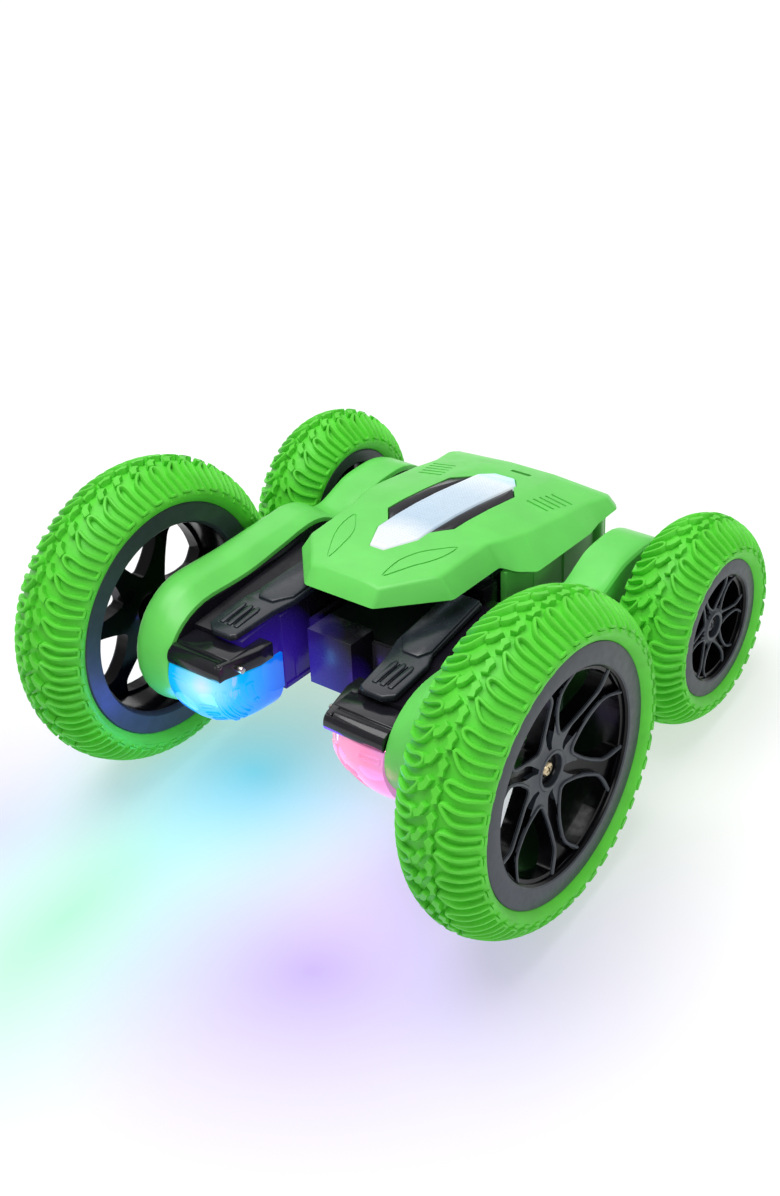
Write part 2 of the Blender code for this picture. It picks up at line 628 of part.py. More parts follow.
def window_outline(scale, outer, turn):
    """One window between two waisted spokes; `turn` is the angle of the first spoke."""
    edge = [(10.9 * scale, 24.0), (14.4 * scale, 13.7), (19.2 * scale, 8.1),
            (23.1 * scale, 6.5), (outer, 12.6), (outer, 21.0)]
    gap = 360 / SPOKES
    half = edge + [(outer, gap / 2)] + [(r, gap - a) for r, a in reversed(edge)]
    return [(r * math.cos(math.radians(a + turn)), r * math.sin(math.radians(a + turn)))
            for r, a in half]


def wheel(name, side, y, track, tyre_r, rim_r, half, open_r, dish_depth, phase,
          segments, rim_segments):
    """Tyre, rim, hub screw and axle of one wheel, about its own axle empty."""
    parent = ARMS[name.split("_")[0]]
    spin = empty(name + "_spin", (side * track, y - PIVOT_Y, 0), parent)
    tread = {2: 0.9, 3: 0.9, 4: 0.7, 5: 0.6, 6: 0.6, 7: 0.7, 8: 0.9, 9: 0.9}

    def lug(segment, point):
        return -tread.get(point, 0.0) if (segment + (point > 5)) % 2 else 0.0

    bm = bmesh.new()
    revolve(bm, tyre_profile(tyre_r, rim_r, half), segments, lug=lug)
    to_object(name + "_tyre", bm, (0, 0, 0), spin, "green_rubber")

    face = 0.83 * half                      # rim flange, from the mid-plane
    web = face - 2.0                        # outer plane of the spokes at the rim
    dish = web - dish_depth                 # and at the hub
    barrel = open_r - 1.2
    hub = 3.0 + 0.11 * open_r
    profile = [(1.6, dish - 1.7), (2.4, dish - 1.6), (2.4, dish + 0.9), (hub, dish + 0.9),
               (hub + 1.4, dish), (barrel - 0.6, web), (open_r, face), (rim_r, face),
               (rim_r, face - 1.4), (rim_r - 2.3, face - 2.2), (rim_r - 2.3, 2.2 - face),
               (rim_r, 1.4 - face), (rim_r, -face), (open_r, -face), (barrel, 1.6 - face),
               (barrel, web - 3.2), (hub + 1.4, dish - 3.2), (hub - 0.8, dish - 4.2),
               (hub - 0.8, -0.6 * face), (1.6, -0.6 * face)]
    bm = bmesh.new()
    revolve(bm, [(r, side * x) for r, x in profile], rim_segments)
    rim = to_object(name + "_rim", bm, (0, 0, 0), spin, "black_plastic")
    windows = bmesh.new()
    for k in range(SPOKES):
        flat = window_outline(open_r / 30.0, barrel - 1.2, phase + 360 / SPOKES * k)
        prism(windows, flat, *span(side, dish - 5, web + 3))
    cut(rim, name + "_windows", windows, (0, 0, 0), spin)

    inner_end = side * (ARM_IN + 2.6 - track)
    outer_end = side * (dish - 1.8)
    bm = bmesh.new()
    rod(bm, (side * (dish - 0.7), 0, 0), 2.0, 1.2, segments=18)
    to_object(name + "_hub_screw", bm, (0, 0, 0), spin, "steel")
    bm = bmesh.new()
    rod(bm, ((inner_end + outer_end) / 2, 0, 0), AXLE_R, abs(outer_end - inner_end), segments=16)
    to_object(name + "_axle", bm, (0, 0, 0), spin, "steel")
    teeth, tip = GEARS[name.split("_")[1] + "_gear"]
    lo, hi = sorted((side * (GEAR_X - track), side * (GEAR_X + GEAR_WIDTH - track)))
    gear(name + "_gear", teeth, tip, (0, 0, 0), lo, hi, spin, "white_nylon", AXLE_R + GAP)
    return spin


WHEELS = {
    "left_front": (1, FRONT_Y, FRONT_TRACK_HALF, FRONT_TYRE_R, 36.0, 13.3, 30.0, 3.6, 33, 50, 30),
    "right_front": (-1, FRONT_Y, FRONT_TRACK_HALF, FRONT_TYRE_R, 36.0, 13.3, 30.0, 3.6, 0, 50, 30),
    "left_rear": (1, REAR_Y, REAR_TRACK_HALF, REAR_TYRE_R, 20.7, 11.6, 16.4, 0.8, 2, 40, 25),
    "right_rear": (-1, REAR_Y, REAR_TRACK_HALF, REAR_TYRE_R, 20.7, 11.6, 16.4, 0.8, 30, 40, 25),
}
for wheel_name, values in WHEELS.items():
    wheel(wheel_name, *values)
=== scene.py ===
"""Looks of the double-sided RC stunt car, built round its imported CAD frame.

Every length handed to a helper is in millimetres in the chassis frame: origin
midway between the axles, X across the car, Y from nose to tail, Z up. CHASSIS
turns that into the row frame. "left" is the car's own left, on +X.
"""

import math

import bmesh
import bpy
import numpy as np
from mathutils import Matrix, Vector
from mathutils.bvhtree import BVHTree


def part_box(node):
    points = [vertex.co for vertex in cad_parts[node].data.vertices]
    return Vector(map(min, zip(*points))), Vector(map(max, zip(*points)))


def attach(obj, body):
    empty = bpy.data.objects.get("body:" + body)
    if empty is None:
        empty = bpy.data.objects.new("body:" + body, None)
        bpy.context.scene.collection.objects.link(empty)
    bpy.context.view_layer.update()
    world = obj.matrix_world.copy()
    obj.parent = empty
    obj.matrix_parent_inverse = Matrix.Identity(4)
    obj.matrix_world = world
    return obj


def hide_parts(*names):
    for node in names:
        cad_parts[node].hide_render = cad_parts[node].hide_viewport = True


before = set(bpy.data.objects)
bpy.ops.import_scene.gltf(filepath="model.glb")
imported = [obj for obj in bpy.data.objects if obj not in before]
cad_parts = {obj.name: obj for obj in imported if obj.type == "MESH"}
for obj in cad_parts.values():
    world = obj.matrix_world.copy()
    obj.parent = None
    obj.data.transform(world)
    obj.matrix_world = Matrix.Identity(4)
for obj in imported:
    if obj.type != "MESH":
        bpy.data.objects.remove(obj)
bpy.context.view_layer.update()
MM = 0.001
SIDES = {"left": 1, "right": -1}


def middle(node):
    low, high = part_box(node)
    return (low + high) / 2


FRONT, REAR = middle("left_front_tyre"), middle("left_rear_tyre")
PITCH = math.atan2(FRONT.z - REAR.z, REAR.y - FRONT.y)
AXLE_Y = (REAR - FRONT).yz.length / 2 / MM
CHASSIS = (Matrix.Translation((0, (FRONT.y + REAR.y) / 2, (FRONT.z + REAR.z) / 2))
           @ Matrix.Rotation(-PITCH, 4, "X") @ Matrix.Scale(MM, 4))


# ------------------------------------------------------------------ materials
class Shade:
    """A Principled material with small helpers for its procedural nodes."""

    def __init__(self, name, colour, rough, metal=0.0, **sockets):
        self.mat = bpy.data.materials.new(name)
        self.mat.use_nodes = True
        self.nodes, self.links = self.mat.node_tree.nodes, self.mat.node_tree.links
        self.shader = self.nodes["Principled BSDF"]
        self.colour, self.rough = colour, rough
        self.set("Base Color", (*colour, 1))
        self.set("Roughness", rough)
        self.set("Metallic", metal)
        for socket, value in sockets.items():
            self.set(socket.replace("_", " "), value)
        self.place = self.nodes.new("ShaderNodeTexCoord").outputs["Object"]

    def set(self, socket, value):
        self.shader.inputs[socket].default_value = value

    def wire(self, source, socket):
        self.links.new(source, self.shader.inputs[socket])

    def node(self, kind, source, socket=0, **values):
        """A new node fed by source, with other sockets set to values."""
        node = self.nodes.new("ShaderNode" + kind)
        for name, value in values.items():
            node.inputs[name.replace("_", " ")].default_value = value
        self.links.new(source, node.inputs[socket])
        return node

    def noise(self, scale, detail=3, stretch=None):
        """Noise from 0 to 1, scale cells to a metre."""
        source = self.place
        if stretch:
            source = self.node("Mapping", source, Scale=stretch).outputs[0]
        return self.node("TexNoise", source, Scale=scale, Detail=detail).outputs["Fac"]

    def ramp(self, source, stops):
        node = self.node("ValToRGB", source)
        ramp = node.color_ramp
        while len(ramp.elements) < len(stops):
            ramp.elements.new(0.5)
        for element, (position, colour) in zip(ramp.elements, stops):
            element.position, element.color = position, (*colour, 1)
        return node.outputs[0]

    def spread(self, source, low, high):
        """Map the middle of a noise, where nearly all of it lies, to low and high."""
        return self.node("MapRange", source, From_Min=0.3, From_Max=0.7, To_Min=low,
                         To_Max=high).outputs[0]

    def tint(self, scale, amount):
        """Base colour that drifts a little, darker and lighter, over the surface."""
        dark = [c * (1 - amount) for c in self.colour]
        light = [min(1, c * (1 + amount)) for c in self.colour]
        self.wire(self.ramp(self.noise(scale, 4), [(0.3, dark), (0.7, light)]), "Base Color")
        return self

    def wear(self, scale, amount):
        """Roughness that drifts by amount either way."""
        source = self.noise(scale, 5)
        self.wire(self.spread(source, self.rough - amount, self.rough + amount), "Roughness")
        return self

    def grain(self, scale, strength, depth, stretch=None):
        """Fine relief, depth in millimetres."""
        bump = self.node("Bump", self.noise(scale, 3, stretch), "Height", Strength=strength,
                         Distance=depth * MM)
        self.wire(bump.outputs[0], "Normal")
        return self

    def glow(self, centre, radius, stops, strength):
        """Emission that fades outwards from a point given in the chassis frame: the lit lenses' own
        glow, and painted violet lamp light on the dark moulded parts.
        """
        away = self.node("VectorMath", self.place)
        away.operation = "DISTANCE"
        away.inputs[1].default_value = CHASSIS @ Vector(centre)
        scaled = self.node("Math", away.outputs["Value"])
        scaled.operation = "DIVIDE"
        scaled.inputs[1].default_value = radius * MM
        self.wire(self.ramp(scaled.outputs[0], stops), "Emission Color")
        self.set("Emission Strength", strength)
        return self


GREEN = (0.135, 0.635, 0.105)
M = {
    "green": Shade("green_moulded", GREEN, 0.34, Specular_IOR_Level=0.42
                   ).tint(90, 0.05).wear(260, 0.05).grain(2600, 0.10, 0.05),
    "green_dull": Shade("green_moulded_dull", GREEN, 0.48, Specular_IOR_Level=0.4
                        ).tint(90, 0.06).wear(260, 0.05).grain(1900, 0.16, 0.07),
    "rubber": Shade("green_rubber", (0.105, 0.62, 0.042), 0.46, Specular_IOR_Level=0.26
                    ).tint(140, 0.08).wear(420, 0.07).grain(1500, 0.22, 0.10),
    "satin": Shade("black_satin", (0.034, 0.042, 0.054), 0.38, Specular_IOR_Level=0.45
                   ).tint(300, 0.12).wear(500, 0.06).grain(3200, 0.20, 0.05),
    "gloss": Shade("black_polished", (0.010, 0.010, 0.014), 0.15, Specular_IOR_Level=0.45
                   ).tint(200, 0.2).wear(700, 0.04).grain(160, 0.05, 0.2),
    "trim": Shade("black_semi_gloss", (0.018, 0.022, 0.030), 0.24, Specular_IOR_Level=0.5
                  ).tint(200, 0.15).wear(500, 0.05).grain(900, 0.05, 0.08),
    # painted shade: a darker, weakly reflecting copy of the rim's plastic for the faces inside its
    # opening; the glossy finish is real, the extra darkness and low reflection are painted shade
    "spoke": Shade("black_spoke_painted_shade", (0.002, 0.002, 0.003), 0.20, Specular_IOR_Level=0.18
                   ).tint(300, 0.2).wear(600, 0.06).grain(240, 0.06, 0.2),
    # painted light: violet lamp light painted into this dark moulded plastic as emission, fading to
    # none within 25 mm of a point between the front lamps
    "black": Shade("black_moulded_painted_violet_glow", (0.008, 0.007, 0.011), 0.26, Specular_IOR_Level=0.22
                   ).tint(200, 0.15).wear(400, 0.05).grain(1600, 0.05, 0.04)
    .glow((-11, -47, -5), 25, [(0.0, (0.04, 0.01, 0.40)), (0.55, (0.02, 0.005, 0.22)),
                               (1.0, (0, 0, 0))], 1.0),
    "steel": Shade("bright_steel", (0.60, 0.58, 0.54), 0.27, 1.0
                   ).tint(900, 0.08).wear(1200, 0.06).grain(2400, 0.05, 0.02),
    "screw": Shade("yellow_zinc", (0.60, 0.49, 0.31), 0.30, 1.0
                   ).tint(900, 0.12).wear(1200, 0.08).grain(2600, 0.15, 0.04),
    "brass": Shade("turned_brass", (0.72, 0.52, 0.22), 0.30, 1.0
                   ).tint(700, 0.08).wear(900, 0.07).grain(3000, 0.12, 0.04, (14, 1, 1)),
    "nylon": Shade("white_nylon", (0.80, 0.79, 0.74), 0.42, Subsurface_Weight=0.2,
                   Subsurface_Scale=0.001).tint(300, 0.04).wear(400, 0.05).grain(1800, 0.1, 0.05),
    "dark_board": Shade("black_circuit_board", (0.006, 0.008, 0.010), 0.40, Specular_IOR_Level=0.2
                        ).tint(1200, 0.25).wear(900, 0.05).grain(2600, 0.2, 0.05),
    "board": Shade("circuit_board", (0.02, 0.19, 0.07), 0.34).tint(1200, 0.25).wear(900, 0.05)
    .grain(2600, 0.2, 0.05),
    "wrap": Shade("battery_sleeve", (0.05, 0.12, 0.50), 0.28).tint(160, 0.08).wear(300, 0.06)
    .grain(420, 0.2, 0.2),
    "roof_lens": Shade("roof_lens_clear", (0.26, 0.31, 0.36), 0.12).tint(500, 0.05)
    .wear(700, 0.05).grain(1500, 0.12, 0.08)
    .glow((0, -14, 30), 62, [(0.0, (1, 1, 1)), (0.12, (1, 1, 1)), (0.26, (0.50, 0.66, 0.80)),
                             (0.62, (0.62, 0.74, 0.84)), (0.85, (0.95, 1.0, 1.0)),
                             (0.95, (0.35, 0.85, 0.95))], 0.58),
    "blue_lens": Shade("lamp_lens_blue", (0.0, 0.07, 0.34), 0.10, Coat_Weight=0.3)
    .tint(400, 0.05).wear(600, 0.03).grain(500, 0.08, 0.2)
    .glow((-26, -64, 0), 26, [(0.0, (1.0, 1.0, 1.0)), (0.15, (0.35, 0.98, 1.0)),
                              (0.38, (0.0, 0.55, 0.95)), (0.75, (0.0, 0.20, 0.85)),
                              (1.0, (0.0, 0.08, 0.65))], 0.80),
    "pink_lens": Shade("lamp_lens_pink", (0.55, 0.16, 0.30), 0.10, Coat_Weight=0.3)
    .tint(400, 0.05).wear(600, 0.03).grain(500, 0.08, 0.2)
    .glow((21, -62, -3), 22, [(0.0, (1.0, 0.85, 0.90)), (0.2, (1.0, 0.40, 0.62)),
                              (0.6, (1.0, 0.32, 0.62)), (1.0, (0.75, 0.35, 0.95))], 0.55),
    "led_white": Shade("led_white", (0.95, 0.97, 1.0), 0.2, Emission_Color=(0.85, 0.95, 1, 1),
                       Emission_Strength=3.0).tint(600, 0.04).wear(600, 0.05),
    "led_blue": Shade("led_blue", (0.5, 0.9, 1.0), 0.2, Emission_Color=(0.25, 0.75, 1, 1),
                      Emission_Strength=12.0).tint(600, 0.04).wear(600, 0.05),
    "led_pink": Shade("led_pink", (1.0, 0.6, 0.75), 0.2, Emission_Color=(1, 0.25, 0.5, 1),
                      Emission_Strength=12.0).tint(600, 0.04).wear(600, 0.05),
}


def dress(node, kind):
    """Give a CAD node that stays on show its own material."""
    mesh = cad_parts[node].data
    mesh.materials.clear()
    mesh.materials.append(M[kind].mat)
    mesh.shade_smooth()
    mesh.set_sharp_from_angle(angle=math.radians(30))


# -------------------------------------------------------------------- helpers
def linked(name, data):
    """A new object in the scene."""
    obj = bpy.data.objects.new(name, data)
    bpy.context.scene.collection.objects.link(obj)
    return obj


def finish_piece(name, bm, body, kinds, nodes=(), sharp=32):
    """Turn a bmesh in chassis millimetres into a piece that rides on a body."""
    bmesh.ops.recalc_face_normals(bm, faces=bm.faces)
    bmesh.ops.transform(bm, matrix=CHASSIS, verts=bm.verts)
    mesh = bpy.data.meshes.new(name)
    bm.to_mesh(mesh)
    bm.free()
    for kind in [kinds] if isinstance(kinds, str) else kinds:
        mesh.materials.append(M[kind].mat)
    mesh.shade_smooth()
    mesh.set_sharp_from_angle(angle=math.radians(sharp))
    obj = linked(name, mesh)
    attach(obj, body)
    if nodes:
        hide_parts(*([nodes] if isinstance(nodes, str) else nodes))


def boolean(bm, cutters, operation="DIFFERENCE"):
    """Exact boolean of a bmesh with others, as a new bmesh in the same units."""
    made = []
    for k, source in enumerate([bm, *cutters]):
        bmesh.ops.recalc_face_normals(source, faces=source.faces)
        mesh = bpy.data.meshes.new("boolean_%d" % k)
        source.to_mesh(mesh)
        source.free()
        made.append(linked("boolean_%d" % k, mesh))
    for tool in made[1:]:
        step = made[0].modifiers.new("step", "BOOLEAN")
        step.operation, step.solver, step.object = operation, "EXACT", tool
    bpy.context.view_layer.update()
    result = made[0].evaluated_get(bpy.context.evaluated_depsgraph_get()).to_mesh()
    out = bmesh.new()
    out.from_mesh(result)
    for obj in made:
        mesh = obj.data
        bpy.data.objects.remove(obj)
        bpy.data.meshes.remove(mesh)
    return out


def verts_at(bm, points):
    return [bm.verts.new(p) for p in points]


def skin(bm, rings, closed=True, caps=False, wrap=False):
    """Quads between successive rings of verts."""
    rows = list(zip(rings, rings[1:])) + ([(rings[-1], rings[0])] if wrap else [])
    faces = []
    for low, high in rows:
        for i in range(len(low) if closed else len(low) - 1):
            j = (i + 1) % len(low)
            faces.append(bm.faces.new((low[i], low[j], high[j], high[i])))
    if caps:
        faces += [bm.faces.new(rings[0]), bm.faces.new(rings[-1])]
    return faces


def prism(bm, outline, low, high, axis="X"):
    """Extrude a 2-D outline; low and high are numbers or functions of the point."""
    def place(a, b, c):
        return {"X": (c, a, b), "Y": (a, c, b), "Z": (a, b, c)}[axis]
    rings = []
    for level in (low, high):
        rings.append(verts_at(bm, [place(a, b, level(a, b) if callable(level) else level)
                                   for a, b in outline]))
    skin(bm, rings, caps=True)


def box(bm, low, high):
    centre = [(a + b) / 2 for a, b in zip(low, high)]
    size = [abs(b - a) for a, b in zip(low, high)]
    bmesh.ops.create_cube(bm, size=1, matrix=Matrix.Translation(centre)
                          @ Matrix.Diagonal((*size, 1)))


def rod(bm, centre, radius, length, axis="X", segments=32):
    turn = {"X": Matrix.Rotation(math.pi / 2, 4, "Y"), "Y": Matrix.Rotation(-math.pi / 2, 4, "X"),
            "Z": Matrix.Identity(4)}[axis]
    bmesh.ops.create_cone(bm, cap_ends=True, segments=segments, radius1=radius,
                          radius2=radius, depth=length,
                          matrix=Matrix.Translation(centre) @ turn)


def round_edges(bm, width, segments=2, angle=30):
    """Round every edge sharper than the angle."""
    bmesh.ops.remove_doubles(bm, verts=bm.verts, dist=0.002)
    bmesh.ops.recalc_face_normals(bm, faces=bm.faces)
    edges = [e for e in bm.edges if len(e.link_faces) == 2
             and math.degrees(e.calc_face_angle(0)) > angle]
    bmesh.ops.bevel(bm, geom=edges, offset=width, segments=segments, profile=0.5,
                    affect="EDGES", clamp_overlap=True)


def fresh(build, *args, rounded=None, **options):
    """A new bmesh holding what one helper builds, with its edges rounded if asked."""
    bm = bmesh.new()
    build(bm, *args, **options)
    if rounded:
        round_edges(bm, *rounded)
    return bm


def polar(radius, degrees):
    return radius * math.cos(math.radians(degrees)), radius * math.sin(math.radians(degrees))


def spline(points, steps, closed=False):
    """Catmull-Rom curve through points of any dimension."""
    pts = np.array(points, float)
    count = len(pts)
    out = []
    for i in range(count if closed else count - 1):
        at = [(i + k) % count if closed else min(max(i + k, 0), count - 1) for k in (-1, 0, 1, 2)]
        a, b, c, d = pts[at]
        for t in np.arange(steps) / steps:
            out.append(0.5 * (2 * b + (c - a) * t + (2 * a - 5 * b + 4 * c - d) * t * t
                              + (3 * b - a - 3 * c + d) * t ** 3))
    if not closed:
        out.append(pts[-1])
    return np.array(out)


def from_cad(node):
    """A welded copy of a CAD node's mesh in chassis millimetres."""
    bm = bmesh.new()
    bm.from_mesh(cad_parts[node].data)
    bmesh.ops.transform(bm, matrix=CHASSIS.inverted(), verts=bm.verts)
    bmesh.ops.remove_doubles(bm, verts=bm.verts, dist=0.004)
    return bm


# ---------------------------------------------------------------------- tyres
TREAD_REACH = 20.2  # crown to bead along a front tyre, the unit of the tread shapes


class Section:
    """Half outline of a tyre, crown to bead, read by distance from the crown."""

    def __init__(self, radius, rim_r, half):
        depth = radius - rim_r
        rows = [(radius, 0), (radius - 0.05, half * 0.14), (rim_r + depth * 0.88, half * 0.48),
                (rim_r + depth * 0.67, half * 0.77), (rim_r + depth * 0.42, half * 0.97),
                (rim_r + depth * 0.20, half), (rim_r + 0.35, half * 0.86)]
        line = spline(rows, 10)
        step = np.linalg.norm(np.diff(line, axis=0), axis=1)
        self.s = np.concatenate([[0], np.cumsum(step)])
        self.line = line
        slope = np.gradient(line, self.s, axis=0)
        self.out = np.stack([slope[:, 1], -slope[:, 0]], 1)
        self.length = float(self.s[-1])
        self.unit = self.length / TREAD_REACH

    def groove(self, s):
        """Depth of the carcass below the tread's envelope."""
        return float(np.interp(abs(s) / self.unit, [0, 9, 14, 17, TREAD_REACH],
                               [1.8, 1.7, 1.25, 0.6, 0.1]))

    def at(self, s, height):
        """Radius and sideways place of a point at a height above the envelope."""
        a = abs(s)
        r, x = (float(np.interp(a, self.s, self.line[:, k])) for k in (0, 1))
        nr, nx = (float(np.interp(a, self.s, self.out[:, k])) for k in (0, 1))
        sign = 1 if s >= 0 else -1
        return r + nr * height, sign * (x + nx * height)


# tread shapes: (share of the pitch round the tyre, way out from the crown)
LOOP_WIDE = [(-0.22, 15.0), (-0.29, 12.6), (-0.33, 9.8), (-0.28, 7.4), (-0.12, 5.9), (0.12, 4.6),
             (0.36, 3.7), (0.40, 4.5), (0.28, 6.6), (0.20, 9.2), (0.23, 12.6), (0.28, 15.0),
             (0.03, 15.3)]
LOOP_SLIM = [(-0.16, 15.1), (-0.22, 12.4), (-0.27, 9.4), (-0.22, 6.9), (-0.08, 4.9), (0.12, 3.9),
             (0.28, 4.6), (0.27, 6.6), (0.18, 9.4), (0.19, 12.6), (0.24, 15.1), (0.04, 15.4)]
TICK = [(-0.20, 16.0), (0.22, 16.0), (0.22, 17.2), (-0.20, 17.2)]
TICK_RISE = -0.28
BLOCKS = [[(0.54, -3.0), (0.80, -3.6), (0.98, -1.9), (1.24, -1.2), (1.10, 0.1), (0.84, -0.5),
           (0.66, -1.4)],
          [(0.28, 1.3), (0.54, 1.7), (0.78, 0.8), (1.02, 2.0), (0.84, 3.3), (0.60, 2.7),
           (0.36, 3.0)]]


def tyre(name, side, loops, rim_r):
    """Tyre with its looped tread, in the room of its CAD node; gives centre and half width."""
    low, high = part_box(name + "_tyre")
    centre = CHASSIS.inverted() @ ((low + high) / 2)
    radius, half = (high.z - low.z) / 2 / MM, (high.x - low.x) / 2 / MM
    section = Section(radius, rim_r, half)
    pitch = 2 * math.pi / loops
    bm = bmesh.new()

    def spin(theta, r, x):
        return bm.verts.new((centre.x + side * x, centre.y - r * math.cos(theta),
                             centre.z + r * math.sin(theta)))

    def put(theta, s, height):
        return spin(theta, *section.at(s, height))

    columns = 17
    across = [section.length * k / columns for k in range(-columns, columns + 1)]
    inner = [(rim_r - 1.6, half * 0.60), (rim_r + 4.6, half * 0.58), (rim_r + 4.6, -half * 0.58),
             (rim_r - 1.6, -half * 0.60)]
    rings = []
    for k in range(loops * 3):
        theta = k * pitch / 3
        rings.append([put(theta, s, -section.groove(s)) for s in across]
                     + [spin(theta, r, x) for r, x in inner])
    skin(bm, rings, wrap=True)

    def ridge(path, theta, mirror):
        """A rounded raised line along a closed path."""
        pts = np.array([(theta + t * pitch, s * section.unit) for t, s in path])
        metric = np.array([section.at(s, 0)[0] for _, s in pts])
        ahead, behind = np.roll(pts, -1, 0), np.roll(pts, 1, 0)
        run = (ahead - behind) * np.stack([metric, np.ones(len(pts))], 1)
        run /= np.linalg.norm(run, axis=1)[:, None]
        rows = []
        for (a, s), (tx, ts), r in zip(pts, run, metric):
            top = -0.12 * max(0.0, s / section.unit - 9) / 4
            base = -section.groove(s) - 0.25
            row = []
            for offset, height in ((-0.64, base), (-0.52, top - 0.28), (-0.28, top), (0.28, top),
                                   (0.52, top - 0.28), (0.64, base)):
                row.append(put(a - ts * offset / r, mirror * (s + tx * offset), height))
            rows.append(row)
        skin(bm, rows, wrap=True)

    def block(outline, theta, mirror, rise=0.0):
        """A raised block with a chamfered top."""
        pts = np.array([(t * pitch, s * section.unit) for t, s in outline])
        mean = pts.mean(0)
        rings = []
        for share, height in ((1.06, None), (1.0, rise - 0.16), (0.90, rise)):
            ring = []
            for p in pts:
                a, s = mean + (p - mean) * share
                level = -section.groove(s) - 0.3 if height is None else height
                ring.append(put(theta + a, mirror * s, level))
            rings.append(ring)
        skin(bm, rings, caps=True)

    wide, slim = spline(LOOP_WIDE, 2, closed=True), spline(LOOP_SLIM, 2, closed=True)
    for k in range(loops):
        for mirror, shift in ((1, 0.0), (-1, 0.5)):
            theta = (k + shift) * pitch
            ridge(slim if k % 2 else wide, theta, mirror)
            block(TICK, theta, mirror, TICK_RISE)
        for outline in BLOCKS:
            block(outline, k * pitch, 1)
    finish_piece(name + "_tread_tyre", bm, name + "_wheel", "rubber", name + "_tyre", 40)
    return centre, half


# ----------------------------------------------------------------------- rims
# a spoke's channel: distance from the hub and half width, for a front rim
CHANNEL = [(6.6, 0.6), (8.5, 1.2), (11.0, 1.8), (14.2, 2.0), (17.5, 1.65), (21.0, 1.45),
           (23.2, 1.5), (25.2, 2.4), (27.2, 3.9), (28.9, 5.1)]


def revolve(bm, centre, side, profile, segments, wrap=True):
    """Turn a profile of (radius, way out) points about a wheel's axis."""
    rings = []
    for k in range(segments):
        a = 2 * math.pi * k / segments
        rings.append(verts_at(bm, [(centre.x + side * x, centre.y + r * math.cos(a),
                                    centre.z + r * math.sin(a)) for r, x in profile]))
    if wrap:
        skin(bm, rings, wrap=True)
    else:
        skin(bm, rings, closed=False, wrap=True)
        for end in (0, -1):
            bm.faces.new([ring[end] for ring in rings])


